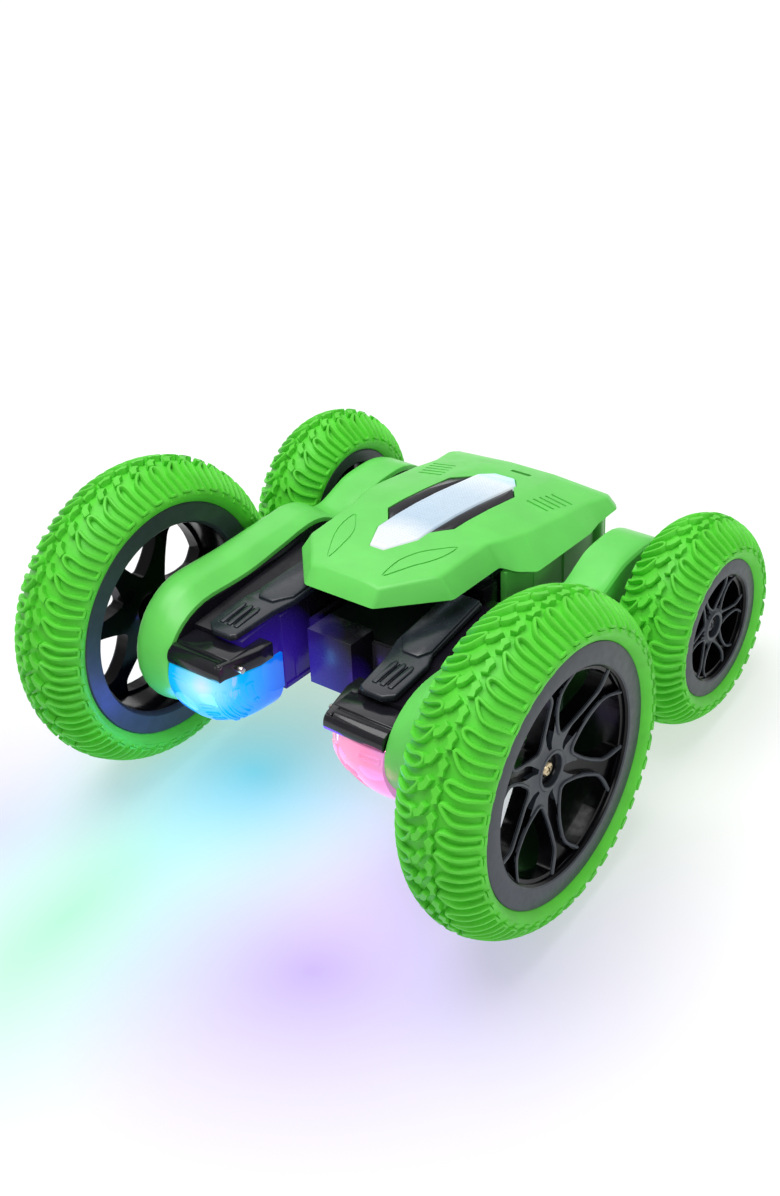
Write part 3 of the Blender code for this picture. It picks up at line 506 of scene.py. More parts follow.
def rim(name, side, centre, half, rim_r, open_r, dish_depth, phase):
    """Six-spoke rim with twin raised rails, and the cross screw in its hub."""
    face = 0.83 * half
    web = face - 1.6
    dish = face - 2.0 - dish_depth
    barrel = open_r - 1.0
    hub = 3.2 + 0.085 * open_r
    hole = hub - 1.2
    unit = open_r / 30.0
    thick = 4.4

    def surface(r):
        """Outer face of the spokes at a radius."""
        t = min(1.0, max(0.0, (r - hub) / (barrel - hub)))
        return dish + (web - dish) * (0.25 * t + 0.75 * t ** 2.2)

    steps = [hub + (barrel - hub) * k / 10 for k in range(1, 11)]
    profile = [(1.5, dish - 1.7), (2.3, dish - 1.6), (2.3, dish - 0.9), (hole - 0.3, dish - 0.9),
               (hole, dish - 0.6), (hole, dish + 0.7), (hole + 0.25, dish + 0.9),
               (hub - 0.25, dish + 0.9), (hub, dish + 0.65)]
    profile += [(r, surface(r)) for r in steps]
    profile += [(barrel + 0.1, face - 0.9), (open_r - 0.35, face - 0.3), (open_r + 0.1, face),
                (rim_r - 0.6, face + 0.05), (rim_r - 0.15, face - 0.15), (rim_r, face - 0.6),
                (rim_r, face - 1.4), (rim_r - 2.3, face - 2.2), (rim_r - 2.3, 2.2 - face),
                (rim_r, 1.4 - face), (rim_r, 0.5 - face), (rim_r - 0.5, -face),
                (open_r + 0.3, -face), (open_r - 0.1, 0.4 - face), (barrel + 0.2, 1.8 - face),
                (barrel, surface(barrel) - thick)]
    profile += [(r, surface(r) - thick) for r in reversed(steps[:-1])]
    profile += [(hub, dish - thick - 0.6), (hub - 0.8, dish - thick - 1.4),
                (hub - 0.8, -0.55 * face), (hub - 1.2, -0.6 * face), (1.5, -0.6 * face)]
    bm = bmesh.new()
    revolve(bm, centre, side, profile, 120)

    # a window's edge, from the barrel round its inner corner and back out
    edge = [(28.9, 13.2), (27.2, 11.0), (25.2, 8.2), (23.2, 6.6), (21.0, 7.0), (17.5, 9.0),
            (14.2, 13.6), (11.7, 20.5), (10.6, 26.0)]
    half_edge = [(r * unit, a) for r, a in edge]
    outline = spline(half_edge + [(10.4 * unit, 30.0)]
                     + [(r, 60 - a) for r, a in reversed(half_edge)], 3)
    outer = barrel - 0.9
    cutters = []
    for k in range(6):
        turn = phase + 60 * k
        ring = [(min(r, outer), a) for r, a in outline]
        first, last = ring[0][1], ring[-1][1]
        ring += [(outer, last + (first - last) * j / 6) for j in range(1, 6)]
        flat = [polar(r, a + turn) for r, a in ring]
        cutters.append(fresh(prism, [(centre.y + y, centre.z + z) for y, z in flat],
                             centre.x + side * (dish - thick - 3), centre.x + side * (web + 2.5)))

        # the dark channel down the middle of the spoke, forked at its outer end
        along = Vector(polar(1, turn))
        rows = []
        for r, half_width in CHANNEL:
            r = hub + 0.7 if r < 7 else min(r * unit, barrel - 0.4)
            half_width *= max(unit, 0.62)
            row = []
            for across, level in ((-1, -1.4), (1, -1.4), (1, 2.4), (-1, 2.4)):
                q = along * r + Vector((-along.y, along.x)) * across * half_width
                row.append((centre.x + side * (surface(r) + level * (unit if level < 0 else 1)),
                            centre.y + q.x, centre.z + q.y))
            rows.append(row)
        groove = bmesh.new()
        skin(groove, [verts_at(groove, row) for row in rows], caps=True)
        cutters.append(groove)
    bm = boolean(bm, cutters)
    # painted shade: faces inside the opening, all but the hub's top, take the darker spoke copy;
    # the ring face and the hub's top keep the satin
    for f in bm.faces:
        spot = f.calc_center_median() - centre
        r = spot.yz.length
        near_hub = r < 12 * unit and side * spot.x > surface(r) - 0.6
        f.material_index = 0 if r > open_r - 0.6 or near_hub else 1

    # raised lines that follow the windows' edges
    grow = 0.55
    for k in range(6):
        turn = phase + 60 * k
        flat = np.array([polar(r, a + turn) for r, a in outline])
        run = np.gradient(flat, axis=0)
        run /= np.linalg.norm(run, axis=1)[:, None]
        normal = np.stack([run[:, 1], -run[:, 0]], 1)
        core = flat[len(flat) // 2]
        if np.dot(normal[len(flat) // 2], core) > 0:
            normal = -normal
        rows = []
        for p, n in zip(flat, normal):
            row = []
            for offset, height in ((grow - 0.58, -0.3), (grow - 0.50, 0.20), (grow - 0.22, 0.48),
                                   (grow + 0.22, 0.48), (grow + 0.50, 0.20), (grow + 0.58, -0.3)):
                q = p + n * offset * max(unit, 0.7)
                r = min(float(np.linalg.norm(q)), barrel + 0.2)
                q = q / np.linalg.norm(q) * r
                row.append(bm.verts.new((centre.x + side * (surface(r) + height * max(unit, 0.75)),
                                         centre.y + q[0], centre.z + q[1])))
            rows.append(row)
        # the raised rails keep the lighter satin, against the painted shade of the spoke copy
        # around them
        for f in skin(bm, rows) + [bm.faces.new(rows[0]), bm.faces.new(rows[-1])]:
            f.material_index = 2
    finish_piece(name + "_spoked_rim", bm, name + "_wheel", ["satin", "spoke", "satin"],
                 name + "_rim", 30)

    top = dish - 0.1
    head = fresh(revolve, centre, side, [(2.0, top - 1.2), (2.0, top - 0.5), (1.7, top - 0.15),
                                         (1.1, top), (0.3, top + 0.05)], 32, wrap=False)
    slots = []
    for turn in (20, 110):
        cross = fresh(box, (-0.6, -1.15, -0.21), (0.9, 1.15, 0.21))
        bmesh.ops.transform(cross, verts=cross.verts, matrix=Matrix.Translation(
            centre + Vector((side * top, 0, 0))) @ Matrix.Rotation(math.radians(turn), 4, "X"))
        slots.append(cross)
    head = boolean(head, slots)
    finish_piece(name + "_cross_screw", head, name + "_wheel",
                 "screw" if "front" in name else "satin", name + "_hub_screw", 30)


# side, tread loops, rim radius, radius of its opening, depth of its dish, first spoke's angle
WHEELS = {
    "left_front": (1, 44, 36.0, 30.0, 3.6, 33),
    "right_front": (-1, 44, 36.0, 30.0, 3.6, 0),
    "left_rear": (1, 30, 20.7, 16.4, 0.8, 2),
    "right_rear": (-1, 30, 20.7, 16.4, 0.8, 30),
}
for wheel, (side, loops, rim_r, open_r, dish_depth, phase) in WHEELS.items():
    centre, half = tyre(wheel, side, loops, rim_r)
    rim(wheel, side, centre, half, rim_r, open_r, dish_depth, phase)
    dress(wheel + "_axle", "steel")
    dress(wheel + "_gear", "nylon")


# ----------------------------------------------------------------- top cover
# half section of the roof at stations from nose to tail: skirt, ridge, crown
ROOF = [
    ((12.0, -35.2, 23.0), (12.1, -32.0, 27.8), (6.5, -31.0, 28.4)),
    ((27.1, -18.6, 22.8), (22.7, -18.8, 28.8), (10.5, -20.0, 30.2)),
    ((27.0, 3.5, 22.6), (23.6, 2.0, 29.8), (11.5, 0.0, 30.7)),
    ((31.0, 6.2, 21.2), (26.0, 9.0, 29.2), (12.0, 10.0, 30.4)),
    ((34.8, 11.0, 20.2), (27.5, 16.0, 28.4), (12.0, 20.0, 29.6)),
    ((34.4, 39.5, 19.6), (28.0, 38.0, 25.6), (12.0, 38.0, 27.4)),
    ((32.6, 47.0, 19.2), (27.6, 48.0, 24.2), (11.0, 48.0, 26.0)),
    ((32.2, 58.0, 19.2), (29.4, 56.8, 23.0), (9.5, 57.0, 24.3)),
    ((29.4, 62.0, 18.6), (28.0, 60.2, 22.2), (8.0, 60.8, 23.3)),
]
COVER_WALL = 1.8
LENS_HALF = 7.0


def roof_height(y):
    return float(np.interp(y, [row[2][1] for row in ROOF], [row[2][2] for row in ROOF]))


def light_outline(grow=0.0):
    """Plan of the roof light, narrow at its nose."""
    w = LENS_HALF + grow
    half = [(2.5, -17.5 - grow), (w, -8.0), (w, 41.0), (w - 3.5, 45.5 + grow)]
    return half + [(-x, y) for x, y in reversed(half)]


def strip_outline(side, inner=LENS_HALF + 0.3, grow=0.0):
    """Plan of the polished strip beside the roof light."""
    outer = 11.6 + grow
    front = [-2.4 + 1.26 * (x - 7.3) - 2 * grow for x in (inner, outer)]
    rear = [38.8 - 1.35 * (x - 7.3) + 2 * grow for x in (outer, inner)]
    return [(side * x, y) for x, y in zip((inner, outer, outer, inner), front + rear)]


def slab(bm, outline, lift, thickness):
    """A plate that follows the roof's crown, its upper face lift above it."""
    prism(bm, outline, -thickness, 0, "Z")
    for row in ROOF:
        bmesh.ops.bisect_plane(bm, geom=bm.verts[:] + bm.edges[:] + bm.faces[:], dist=0.01,
                               plane_co=(0, row[2][1], 0), plane_no=(0, 1, 0))
    for vert in bm.verts:
        vert.co.z += roof_height(vert.co.y) + lift


def channel(tree, path, width, depth, closed=True):
    """Cutter for an engraved line that follows the surface under the path."""
    pts = np.array(path, float)
    ahead, behind = np.roll(pts, -1, 0), np.roll(pts, 1, 0)
    if not closed:
        ahead[-1], behind[0] = pts[-1], pts[0]
    run = ahead - behind
    run /= np.linalg.norm(run, axis=1)[:, None]
    bm = bmesh.new()
    rows = []
    for (x, y), (tx, ty) in zip(pts, run):
        hit = tree.ray_cast(Vector((x, y, 60)), Vector((0, 0, -1)))[0]
        z = hit.z if hit else 26.0
        left = (x - ty * width / 2, y + tx * width / 2)
        right = (x + ty * width / 2, y - tx * width / 2)
        rows.append(verts_at(bm, [(*left, z - depth), (*right, z - depth), (*right, z + 2),
                                  (*left, z + 2)]))
    skin(bm, rows, wrap=closed, caps=not closed)
    return bm


LEAF = [(9.5, -27.0), (9.6, -19.8), (11.4, -13.4), (14.6, -8.6), (18.3, -4.6), (18.2, -9.6),
        (16.6, -14.6), (14.2, -19.4), (12.0, -23.4)]


def top_cover():
    """Hollow roof with its engraved lines, and the body's walls below it."""
    bm = bmesh.new()
    rows = []
    for skirt, ridge, crown in ROOF:
        half = [skirt, ridge, crown]
        rows.append(verts_at(bm, [(-x, y, z) for x, y, z in half]
                             + [(x, y, z) for x, y, z in reversed(half)]))
    skin(bm, rows, closed=False)
    bm.faces.new(rows[0])
    bm.faces.new(rows[-1])
    bmesh.ops.recalc_face_normals(bm, faces=bm.faces)
    if sum(f.normal.z * f.calc_area() for f in bm.faces) < 0:
        bmesh.ops.reverse_faces(bm, faces=bm.faces)
    edges = [e for e in bm.edges if len(e.link_faces) == 2
             and math.degrees(e.calc_face_angle(0)) > 5]
    bmesh.ops.bevel(bm, geom=edges, offset=0.9, segments=4, profile=0.5, affect="EDGES",
                    clamp_overlap=True)
    tree = BVHTree.FromBMesh(bm)
    mesh = bpy.data.meshes.new("roof_shell")
    bm.to_mesh(mesh)
    bm.free()
    shell = linked("roof_shell", mesh)
    wall = shell.modifiers.new("wall", "SOLIDIFY")
    wall.thickness, wall.offset = COVER_WALL, -1
    bpy.context.view_layer.update()
    thick = bmesh.new()
    thick.from_mesh(shell.evaluated_get(bpy.context.evaluated_depsgraph_get()).to_mesh())
    bpy.data.objects.remove(shell)
    outline = [(-28.6, 4.2), (-28.6, 57.6), (28.6, 57.6), (28.6, 4.2), (26.8, 4.2),
               (26.8, 55.8), (-26.8, 55.8), (-26.8, 4.2)]
    thick = boolean(thick, [fresh(prism, outline, 0.15, 20.9, "Z")], "UNION")
    cutters = [fresh(prism, light_outline(0.3), 20, 40, "Z")]
    for side in (-1, 1):
        cutters.append(fresh(prism, strip_outline(side, LENS_HALF - 2, 0.3), 20, 40, "Z"))
        cutters.append(fresh(rod, (side * 28, 8, 0), 2.6, 12))
        for k in range(5):
            start, y = (15.6 + 0.5 * k, 34.2 + 2.5 * k)
            path = [(side * (start + 1.6 * j), y - 0.22 * j) for j in range(6)]
            cutters.append(channel(tree, path, 0.8, 0.55, closed=False))
        leaf = [(side * x, y) for x, y in LEAF]
        cutters.append(channel(tree, spline(leaf, 4, closed=True), 0.5, 0.3))
    cutters.append(fresh(box, (-2.4, 51.6, 20), (4.6, 53.4, 40)))
    thick = boolean(thick, cutters)
    ears = [fresh(prism, [(side * 20.4, -4.2), (side * 28.6, -4.2), (side * 28.6, 4.8),
                          (side * 20.4, 4.8)], 8.2, 10.4, "Z", rounded=(0.5, 2))
            for side in (-1, 1)]
    thick = boolean(thick, ears, "UNION")
    for side in (-1, 1):
        rod(thick, (side * 27.2, 53.2, 12.0), 3.0, 17.0, "Z", 36)
        box(thick, (side * 28.4 - 0.5, 18.0, 4.0), (side * 28.4 + 0.5, 18.8, 19.5))
        box(thick, (side * 28.4 - 0.5, 34.0, 4.0), (side * 28.4 + 0.5, 34.8, 18.5))
    finish_piece("roof_cover", thick, "chassis", "green", "top_cover", 28)


def roof_light():
    """The prismed light and the two polished strips beside it."""
    bm = fresh(slab, light_outline(), 0.4, 1.9, rounded=(0.45, 3, 40))
    a = 0.46  # half width of a prism
    for row in range(-13, 37):
        y = row * 1.15
        if not -15.0 < y < 42.6:
            continue
        span = 5.9 if y > -7 else 2.0 + 3.9 * (y + 15.5) / 8.5
        count = int(span / 1.1)
        for k in range(-count, count + 1):
            x, z = k * 1.1, roof_height(y) + 0.32
            base = verts_at(bm, [(x - a, y - a, z), (x + a, y - a, z), (x + a, y + a, z),
                                 (x - a, y + a, z)])
            top = bm.verts.new((x, y, z + 0.44))
            bm.faces.new(base)
            for i in range(4):
                bm.faces.new((base[i], base[(i + 1) % 4], top))
    finish_piece("prism_roof_light", bm, "chassis", "roof_lens", "roof_light_lens", 20)
    for name, side in SIDES.items():
        strip = fresh(slab, strip_outline(side), -0.1, 1.5, rounded=(0.3, 2, 40))
        finish_piece(name + "_polished_strip", strip, "chassis", "gloss", name + "_roof_strip", 30)


top_cover()
roof_light()
dress("roof_light_board", "board")
dress("roof_led_strip", "led_white")

# ------------------------------------------------------------------ side arms
ARM_END_R, ARM_HUMP, ARM_VALLEY = 20.5, 22.0, 15.5
ARM_OUT, ARM_WALL = 52.0, 1.6


def arm_outline(squash, inset):
    """Side view of an arm: round ends, a hump, a waist and a rear hump."""
    radius = ARM_END_R - inset
    nose, tail = -AXLE_Y - 2.4, AXLE_Y - 1.6
    crest = (ARM_HUMP - inset) * (0.45 * squash + 0.55)
    valley = (ARM_VALLEY - inset) * (0.45 * squash + 0.55)
    top = [(nose + radius * math.cos(math.radians(180 - 10 * k)),
            radius * squash * math.sin(math.radians(180 - 10 * k))) for k in range(10)]
    knots = [top[-2], top[-1], (-30, radius * squash), (-16, radius * squash * 0.5 + crest * 0.5),
             (-6, crest * 0.985), (0, crest), (5, crest * 0.95),
             (9, valley + (crest - valley) * 0.5), (12, valley + (crest - valley) * 0.14),
             (16, valley), (20, valley + (radius - valley) * 0.12),
             (25, valley + (radius - valley) * 0.5), (31, valley + (radius - valley) * 0.88),
             (tail, radius), (tail + 4, radius * 0.98)]
    top += [tuple(p) for p in spline(knots, 4) if top[-1][0] + 0.1 < p[0] < tail - 0.1]
    top += [(tail + radius * math.cos(math.radians(90 - 10 * k)),
             radius * math.sin(math.radians(90 - 10 * k))) for k in range(10)]
    return top + [(y, -z) for y, z in reversed(top[1:-1])]


# how far out, how much flatter the arm is there, and how far its edge is drawn in
ARM_SKIN = [(38.5, 0.785, 0.45), (38.62, 0.80, 0.12), (39.0, 0.808, 0.0), (41.0, 0.868, 0.0),
            (42.6, 0.918, 0.0), (43.2, 0.934, 0.0), (44.0, 0.946, 0.0), (46.5, 0.976, 0.0),
            (49.0, 1.0, 0.0), (50.4, 1.0, 0.25), (51.3, 1.0, 0.75), (51.85, 1.0, 1.5),
            (52.0, 1.0, 2.4)]


def arm_shell(name, side):
    """Hollow green outer half of an arm."""
    bm = bmesh.new()
    outer = [verts_at(bm, [(side * x, y, z) for y, z in arm_outline(squash, inset)])
             for x, squash, inset in ARM_SKIN]
    inner = [verts_at(bm, [(side * x, y, z) for y, z in arm_outline(squash, inset + ARM_WALL)])
             for x, squash, inset in ((38.5, 0.80, 0), (43.0, 0.93, 0), (50.4, 1.0, 0))]
    skin(bm, outer)
    skin(bm, inner)
    skin(bm, [outer[0], inner[0]])
    bm.faces.new(outer[-1])
    bm.faces.new(inner[-1])
    bm = boolean(bm, [fresh(rod, (side * ARM_OUT, y, 0), radius, length)
                      for y in (-AXLE_Y, AXLE_Y) for radius, length in ((1.6, 8), (5.4, 1.0))])
    finish_piece(name + "_side_arm", bm, name + "_arm", "green", name + "_arm_shell", 24)


def case_top(y):
    """Height of the inner case's sloping top."""
    return 10.0 + (y + 54.5) * 0.11


def lifted(bm, outline, low, high):
    """A plate whose two faces run parallel to the inner case's sloping top."""
    prism(bm, outline, lambda x, y: case_top(y) + low, lambda x, y: case_top(y) + high, "Z")


def arm_trim(name, side):
    """Black plate on top of an arm, with three ribs."""
    plan = [(22.0, -53.6), (23.5, -54.8), (30.0, -54.8), (33.0, -52.4), (32.6, -38.0),
            (30.6, -33.0), (29.0, -8.0), (17.6, -8.0), (18.4, -33.0), (20.4, -40.0)]
    bm = fresh(lifted, [(side * x, y) for x, y in plan], 0.3, 2.3, rounded=(0.45, 3, 35))
    rear = [(20.6, -33.6), (23.2, -37.0), (28.4, -37.0), (30.4, -33.4), (28.4, -8.2),
            (18.2, -8.2), (19.2, -32.0)]
    raised = fresh(lifted, [(side * x, y) for x, y in rear], 1.6, 3.0, rounded=(0.4, 2, 35))
    bm = boolean(bm, [raised], "UNION")
    for k in range(3):
        x = 24.6 + 2.6 * k
        long = [(x - 0.75, -51.2), (x + 0.75, -51.2), (x + 0.95, -42.6), (x + 0.45, -40.8),
                (x - 0.45, -40.8), (x - 0.95, -42.6)]
        rib = fresh(lifted, [(side * a, b) for a, b in long], 1.9, 2.75, rounded=(0.32, 2, 30))
        bm = boolean(bm, [rib], "UNION")
        if k < 2:
            slim = [(x + 1.08, -50.4), (x + 1.52, -50.4), (x + 1.52, -41.4), (x + 1.08, -41.4)]
            bm = boolean(bm, [fresh(lifted, [(side * a, b) for a, b in slim], 1.5, 4.0)])
    finish_piece(name + "_gilled_trim", bm, name + "_arm", "trim", name + "_arm_trim", 30)


def bumper(name, side):
    """Polished bar across an arm's nose, and the pin in its inner end."""
    section = [(-65.0, 3.6), (-65.35, 4.2), (-65.4, 5.4), (-65.2, 6.5), (-64.6, 7.5), (-63.7, 8.15),
               (-62.6, 8.5), (-61.4, 8.6), (-61.2, 8.2), (-60.7, 8.2), (-60.5, 8.75),
               (-53.3, 8.9), (-53.3, 3.6)]
    bm = fresh(prism, section, side * 18.5, side * 38.2, rounded=(0.4, 2, 60))
    plan = [(18.9, -64.6), (15.4, -51.6), (15.4, -46.0), (20.3, -46.0), (20.3, -53.0),
            (21.0, -64.6)]
    wedge = fresh(prism, [(side * x, y) for x, y in plan], 3.5, 8.6, "Z", rounded=(0.5, 2, 40))
    bm = boolean(bm, [wedge], "UNION")
    finish_piece(name + "_bumper_bar", bm, name + "_arm", "gloss", name + "_front_bumper", 34)
    pin = fresh(rod, (side * 16.6, -58.6, 5.6), 1.0, 2.2, rounded=(0.25, 2, 40))
    finish_piece(name + "_bumper_pin", pin, name + "_arm", "steel")


LENS_SECTIONS = [
    (15.6, [(-51.0, 3.2), (-51.3, -1.2), (-50.2, -4.6), (-47.6, -7.0), (-43.0, -8.0)]),
    (17.0, [(-57.4, 3.2), (-57.8, -2.0), (-55.6, -7.0), (-51.0, -10.4), (-43.2, -11.6)]),
    (19.6, [(-61.8, 3.2), (-62.4, -2.5), (-59.2, -9.0), (-53.0, -13.4), (-43.6, -14.6)]),
    (23.5, [(-64.0, 3.2), (-64.8, -2.5), (-61.0, -10.5), (-54.5, -15.8), (-44.0, -17.0)]),
    (31.0, [(-65.2, 3.2), (-66.2, -2.8), (-62.4, -11.8), (-55.5, -18.2), (-45.0, -20.0)]),
    (38.2, [(-64.8, 3.2), (-65.6, -3.0), (-61.8, -12.0), (-55.0, -18.6), (-45.0, -20.2)]),
]
LENS_SPAN = len(LENS_SECTIONS) - 1


def lens_point(u, v):
    """Point of the lamp lens: u from 0 at its inner end to LENS_SPAN, v from 0 at its top to 4."""
    curves = [spline(curve, 8) for _, curve in LENS_SECTIONS]
    xs = spline([[x] for x, _ in LENS_SECTIONS], 8)[:, 0]
    x = float(np.interp(u, np.linspace(0, LENS_SPAN, len(xs)), xs))
    rows = np.array([[np.interp(v, np.linspace(0, 4, len(c)), c[:, k]) for k in (0, 1)]
                     for c in curves])
    y, z = spline(rows, 8).T
    grid = np.linspace(0, LENS_SPAN, len(y))
    return x, float(np.interp(u, grid, y)), float(np.interp(u, grid, z))


def lamp(name, side):
    """Lamp lens, a wall with raised lines moulded on it, closed at its inner end."""
    bm = bmesh.new()
    columns, levels = 30, 16
    grid = np.array([[lens_point(LENS_SPAN * i / columns, 4 * j / levels)
                      for j in range(levels + 1)] for i in range(columns + 1)])
    normal = np.cross(np.gradient(grid, axis=0), np.gradient(grid, axis=1))
    normal /= np.linalg.norm(normal, axis=2)[:, :, None]
    if normal[columns // 2, levels // 2][1] > 0:
        normal = -normal
    wall = 1.2
    layers = []
    for depth in (0.0, wall):
        pts = grid - normal * depth
        layers.append([verts_at(bm, [(side * x, y, z) for x, y, z in row]) for row in pts])
    for layer in layers:
        skin(bm, layer, closed=False)
    rim_loops = []
    for layer in layers:
        rim_loops.append([row[0] for row in layer] + layer[-1][1:]
                         + [row[-1] for row in reversed(layer[:-1])] + layer[0][-2:0:-1])
    skin(bm, rim_loops)
    for k, (u, tall) in enumerate(((0.55, 2.2), (1.25, 2.5), (1.95, 2.7), (2.55, 2.7))):
        wide = 0.3 if k < 2 else 0.2
        raised_line(bm, side, grid_path([(u, 0.75), (u + wide, 0.75), (u + wide, tall), (u, tall)],
                                        5), 0.42, 0.55)
    for k in range(3):
        v = 1.5 + 0.42 * k
        raised_line(bm, side, grid_path([(3.1, v), (3.6, v), (3.6, v + 0.16), (3.1, v + 0.16)], 4),
                    0.3, 0.3)
    raised_line(bm, side, grid_path([(4.0, 0.42), (4.8, 0.42), (4.8, 0.62), (4.0, 0.62)], 4),
                0.35, 0.35)
    end = [(y, z) for _, y, z in (lens_point(0, 4 * j / 8) for j in range(9))]
    prism(bm, end + [(-42.4, -8.0), (-42.4, 3.2)], side * 15.7, side * 16.6)
    kind = "pink_lens" if side > 0 else "blue_lens"
    finish_piece(name + "_lamp_lens", bm, name + "_arm", kind, name + "_headlight_lens", 45)
    dress(name + "_headlight_board", "board")
    dress(name + "_headlight_led", "led_pink" if side > 0 else "led_blue")


def grid_path(corners, steps):
    """Closed path over the lens through corner (u, v) pairs."""
    out = []
    for (u0, v0), (u1, v1) in zip(corners, corners[1:] + corners[:1]):
        for k in range(steps):
            t = k / steps
            out.append((u0 + (u1 - u0) * t, v0 + (v1 - v0) * t))
    return out


def raised_line(bm, side, path, width, rise):
    """A fine raised line on the lens, as moulded optics have."""
    pts = np.array([lens_point(u, v) for u, v in path])
    du = np.array([lens_point(u + 0.05, v) for u, v in path]) - pts
    dv = np.array([lens_point(u, v + 0.05) for u, v in path]) - pts
    out = np.cross(du, dv)
    out /= np.linalg.norm(out, axis=1)[:, None]
    out[out[:, 1] > 0] *= -1
    run = np.roll(pts, -1, 0) - np.roll(pts, 1, 0)
    run /= np.linalg.norm(run, axis=1)[:, None]
    across = np.cross(out, run)
    rows = []
    for p, o, a in zip(pts, out, across):
        ring = [p - a * width - o * 0.2, p - a * width * 0.6 + o * rise, p + a * width * 0.6
                + o * rise, p + a * width - o * 0.2]
        rows.append(verts_at(bm, [(side * q[0], q[1], q[2]) for q in ring]))
    skin(bm, rows, wrap=True)


def softened(node, name, body, kind, width=0.4, segments=2, angle=40, extra=None):
    """A CAD node's shape with moulded, rounded edges, standing for that node."""
    bm = from_cad(node)
    round_edges(bm, width, segments, angle)
    if extra:
        extra(bm)
    finish_piece(name, bm, body, kind, node, 34)


def case_details(side):
    """Ribs on the inner face of an arm's gear case."""
    def add(bm):
        for y in (-34.0, -27.0, -20.0, -13.0):
            box(bm, (side * 18.7, y, -10.5), (side * 19.4, y + 1.0, case_top(y) - 1.0))
        box(bm, (side * 18.6, -38.0, -12.2), (side * 19.6, -6.6, -11.0))
    return add


for name, side in SIDES.items():
    arm_shell(name, side)
    arm_trim(name, side)
    bumper(name, side)
    lamp(name, side)
    softened(name + "_inner_case", name + "_gear_case", name + "_arm", "black", 0.5, 2, 50,
             case_details(side))
    dress(name + "_motor", "steel")
    dress(name + "_motor_pinion", "brass")
    dress(name + "_reduction_gear", "nylon")
    for k in (1, 2, 3):
        dress(name + "_idler_gear_%d" % k, "nylon")


# -------------------------------------------------------------- body and belly
def frame_details(bm):
    """A bolt head and a ledge on each side of the frame's front block."""
    for side in (-1, 1):
        rod(bm, (side * 23.0, -3.8, 14.8), 2.2, 1.2, "Y", 28)
        box(bm, (side * 23.0 - 3.0, -3.9, 17.0), (side * 23.0 + 3.0, -3.2, 18.0))


def door_details(bm):
    for k in range(5):
        box(bm, (-5.0, 40.0 + 1.3 * k, -24.35), (5.0, 40.6 + 1.3 * k, -23.8))


def knob_details(bm):
    for k in (-1, 0, 1):
        box(bm, (-2.0 + k * 0.9 - 0.2, 12.9, -25.0), (-2.0 + k * 0.9 + 0.2, 15.1, -24.6))


softened("chassis_frame", "chassis_tub", "chassis", "black", 0.5, 2, 50,
         frame_details)
softened("belly_cover", "belly_shell", "chassis", "green", 0.6, 3, 18)
softened("battery_door", "ribbed_battery_door", "chassis", "green_dull", 0.3, 2, 40,
         door_details)
softened("power_switch_knob", "ribbed_switch_knob", "switch", "black", 0.2, 2, 40,
         knob_details)
for node, kind in (("battery_pack", "wrap"), ("control_board", "dark_board"),
                   ("pivot_axle", "steel"), ("battery_door_screw", "screw")):
    dress(node, kind)

# ------------------------------------------------------- floor, lights, camera
floor_mesh = bpy.data.meshes.new("studio_floor")
FLOOR_HALF, FLOOR_DROP = 4, 0.0002
floor_mesh.from_pydata([(x * FLOOR_HALF, y * FLOOR_HALF, 0)
                        for x, y in ((-1, -1), (1, -1), (1, 1), (-1, 1))], [], [(0, 1, 2, 3)])
floor = linked("studio_floor", floor_mesh)
floor.location.z = -FLOOR_DROP
paper = Shade("pale_paper", (0.90, 0.90, 0.90), 0.85, Specular_IOR_Level=0.1)


def painted_glow_patch(previous, centre, size, turn, colour):
    """A soft patch of painted lamp light on the floor, its colour blended in over the floor's
    colour.
    """
    mapping = paper.node("Mapping", paper.place, Location=(*centre, 0), Scale=(*size, 1),
                         Rotation=(0, 0, math.radians(turn)))
    mapping.vector_type = "TEXTURE"
    fade = paper.node("TexGradient", mapping.outputs[0])
    fade.gradient_type = "QUADRATIC_SPHERE"
    mix = paper.nodes.new("ShaderNodeMix")
    mix.data_type = "RGBA"
    paper.links.new(fade.outputs["Fac"], mix.inputs["Factor"])
    if previous is None:
        mix.inputs["A"].default_value = (*paper.colour, 1)
    else:
        paper.links.new(previous, mix.inputs["A"])
    mix.inputs["B"].default_value = (*colour, 1)
    return mix.outputs["Result"]


# painted light: the lamps' glow painted onto the floor as soft lavender, violet, mint and cyan
# patches
floor_and_painted_glow = painted_glow_patch(None, (-0.090, -0.100), (0.130, 0.100), 0, (0.66, 0.64, 0.90))
floor_and_painted_glow = painted_glow_patch(floor_and_painted_glow, (0.030, -0.090), (0.150, 0.110), 25, (0.54, 0.44, 0.90))
floor_and_painted_glow = painted_glow_patch(floor_and_painted_glow, (-0.044, -0.110), (0.072, 0.190), -4, (0.44, 0.90, 0.60))
floor_and_painted_glow = painted_glow_patch(floor_and_painted_glow, (-0.034, -0.040), (0.075, 0.065), 0, (0.28, 0.84, 0.90))
# the painted glow goes into the floor's base colour at half value and into its emission
dim = paper.node("HueSaturation", floor_and_painted_glow, "Color", Value=0.5)
paper.wire(dim.outputs[0], "Base Color")
paper.wire(floor_and_painted_glow, "Emission Color")
paper.set("Emission Strength", 0.62)
paper.grain(900, 0.05, 0.1)
floor_mesh.materials.append(paper.mat)


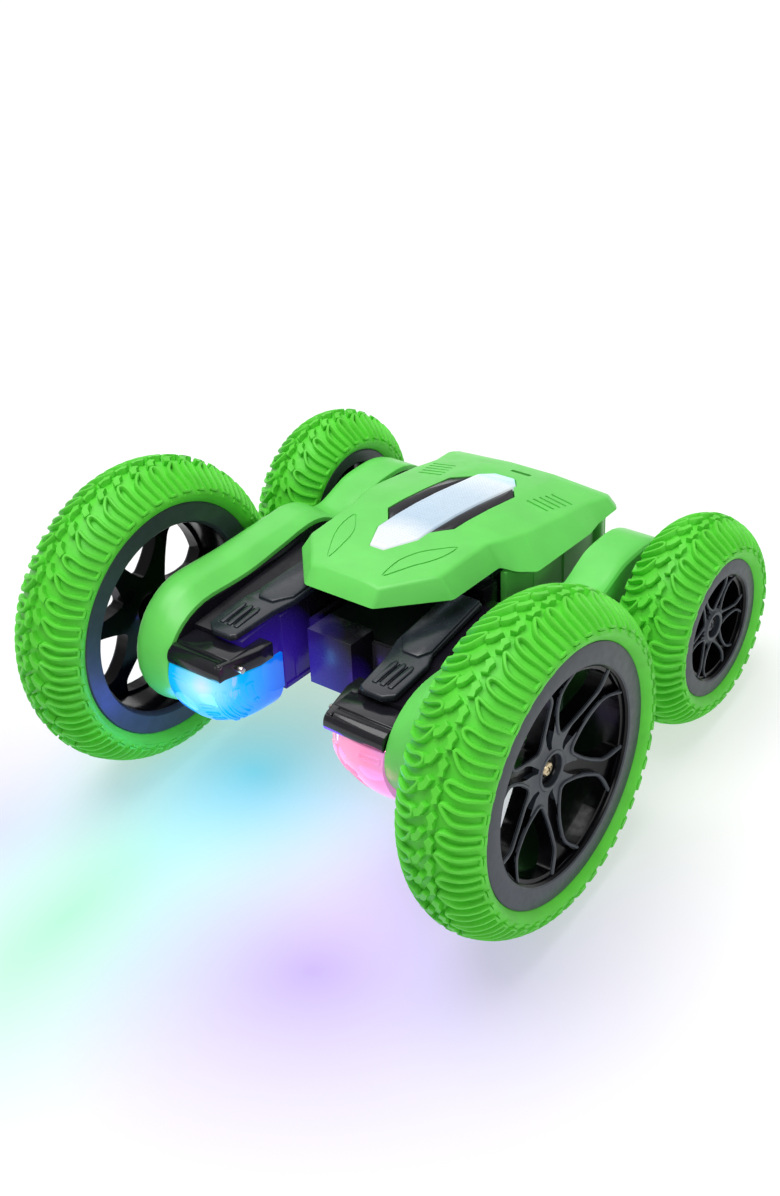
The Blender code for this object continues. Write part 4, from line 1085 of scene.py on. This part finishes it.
def light(kind, name, place, target, energy, size, colour=(1, 1, 1)):
    """A soft disk or a small point light, aimed at the target."""
    data = bpy.data.lights.new(name, kind)
    data.energy, data.color = energy, colour
    if kind == "AREA":
        data.shape, data.size = "DISK", size
    else:
        data.shadow_soft_size = size
    obj = linked(name, data)
    obj.location = place
    obj.rotation_euler = (Vector(target) - Vector(place)).to_track_quat("-Z", "Y").to_euler()
    return obj


light("AREA", "key_softbox", (-0.15, -0.05, 1.30), (0, 0, 0.03), 14.0, 1.1)
light("AREA", "sheen_softbox", (-0.75, 0.78, 0.95), (0, 0, 0.05), 2.0, 0.9)
light("AREA", "side_softbox", (0.95, -0.30, 0.45), (0.05, 0, 0.04), 1.4, 0.4)
for name, at, energy, colour in (
        ("blue_lamp_glow", (-27, -72, -16), 0.012, (0.10, 0.55, 1.0)),
        ("violet_glow", (2, -66, -18), 0.016, (0.16, 0.02, 1.0)),
        ("pink_lamp_glow", (27, -72, -16), 0.006, (1.0, 0.15, 0.45)),
        ("wheel_glow", (-44, -64, -22), 0.010, (0.06, 0.12, 1.0))):
    light("POINT", name, CHASSIS @ Vector(at), (0, 0, 0), energy, 0.006, colour)

world = bpy.data.worlds.new("studio")
bpy.context.scene.world = world
world.use_nodes = True
nodes, links = world.node_tree.nodes, world.node_tree.links
sky = nodes.new("ShaderNodeSeparateXYZ")
height = nodes.new("ShaderNodeMapRange")
links.new(nodes.new("ShaderNodeTexCoord").outputs["Generated"], sky.inputs[0])
links.new(sky.outputs["Z"], height.inputs["Value"])
height.inputs["From Min"].default_value, height.inputs["From Max"].default_value = 0.05, 0.85
height.inputs["To Min"].default_value, height.inputs["To Max"].default_value = 0.34, 0.48
nodes["Background"].inputs["Color"].default_value = (1, 1, 1, 1)
links.new(height.outputs[0], nodes["Background"].inputs["Strength"])
bpy.context.scene.view_settings.view_transform = "Standard"

camera = linked("camera", bpy.data.cameras.new("camera"))
bpy.context.scene.camera = camera
# place, angle and lens as fitted to the photograph's wheels and axles
camera.matrix_world = Matrix(((0.7890, -0.2828, 0.5454, 0.2595),
                              (0.5962, 0.5668, -0.5685, -0.2730),
                              (-0.1484, 0.7737, 0.6159, 0.3461), (0, 0, 0, 1)))
camera.data.lens, camera.data.sensor_width = 50.09, 36.0
camera.data.clip_start = 0.01
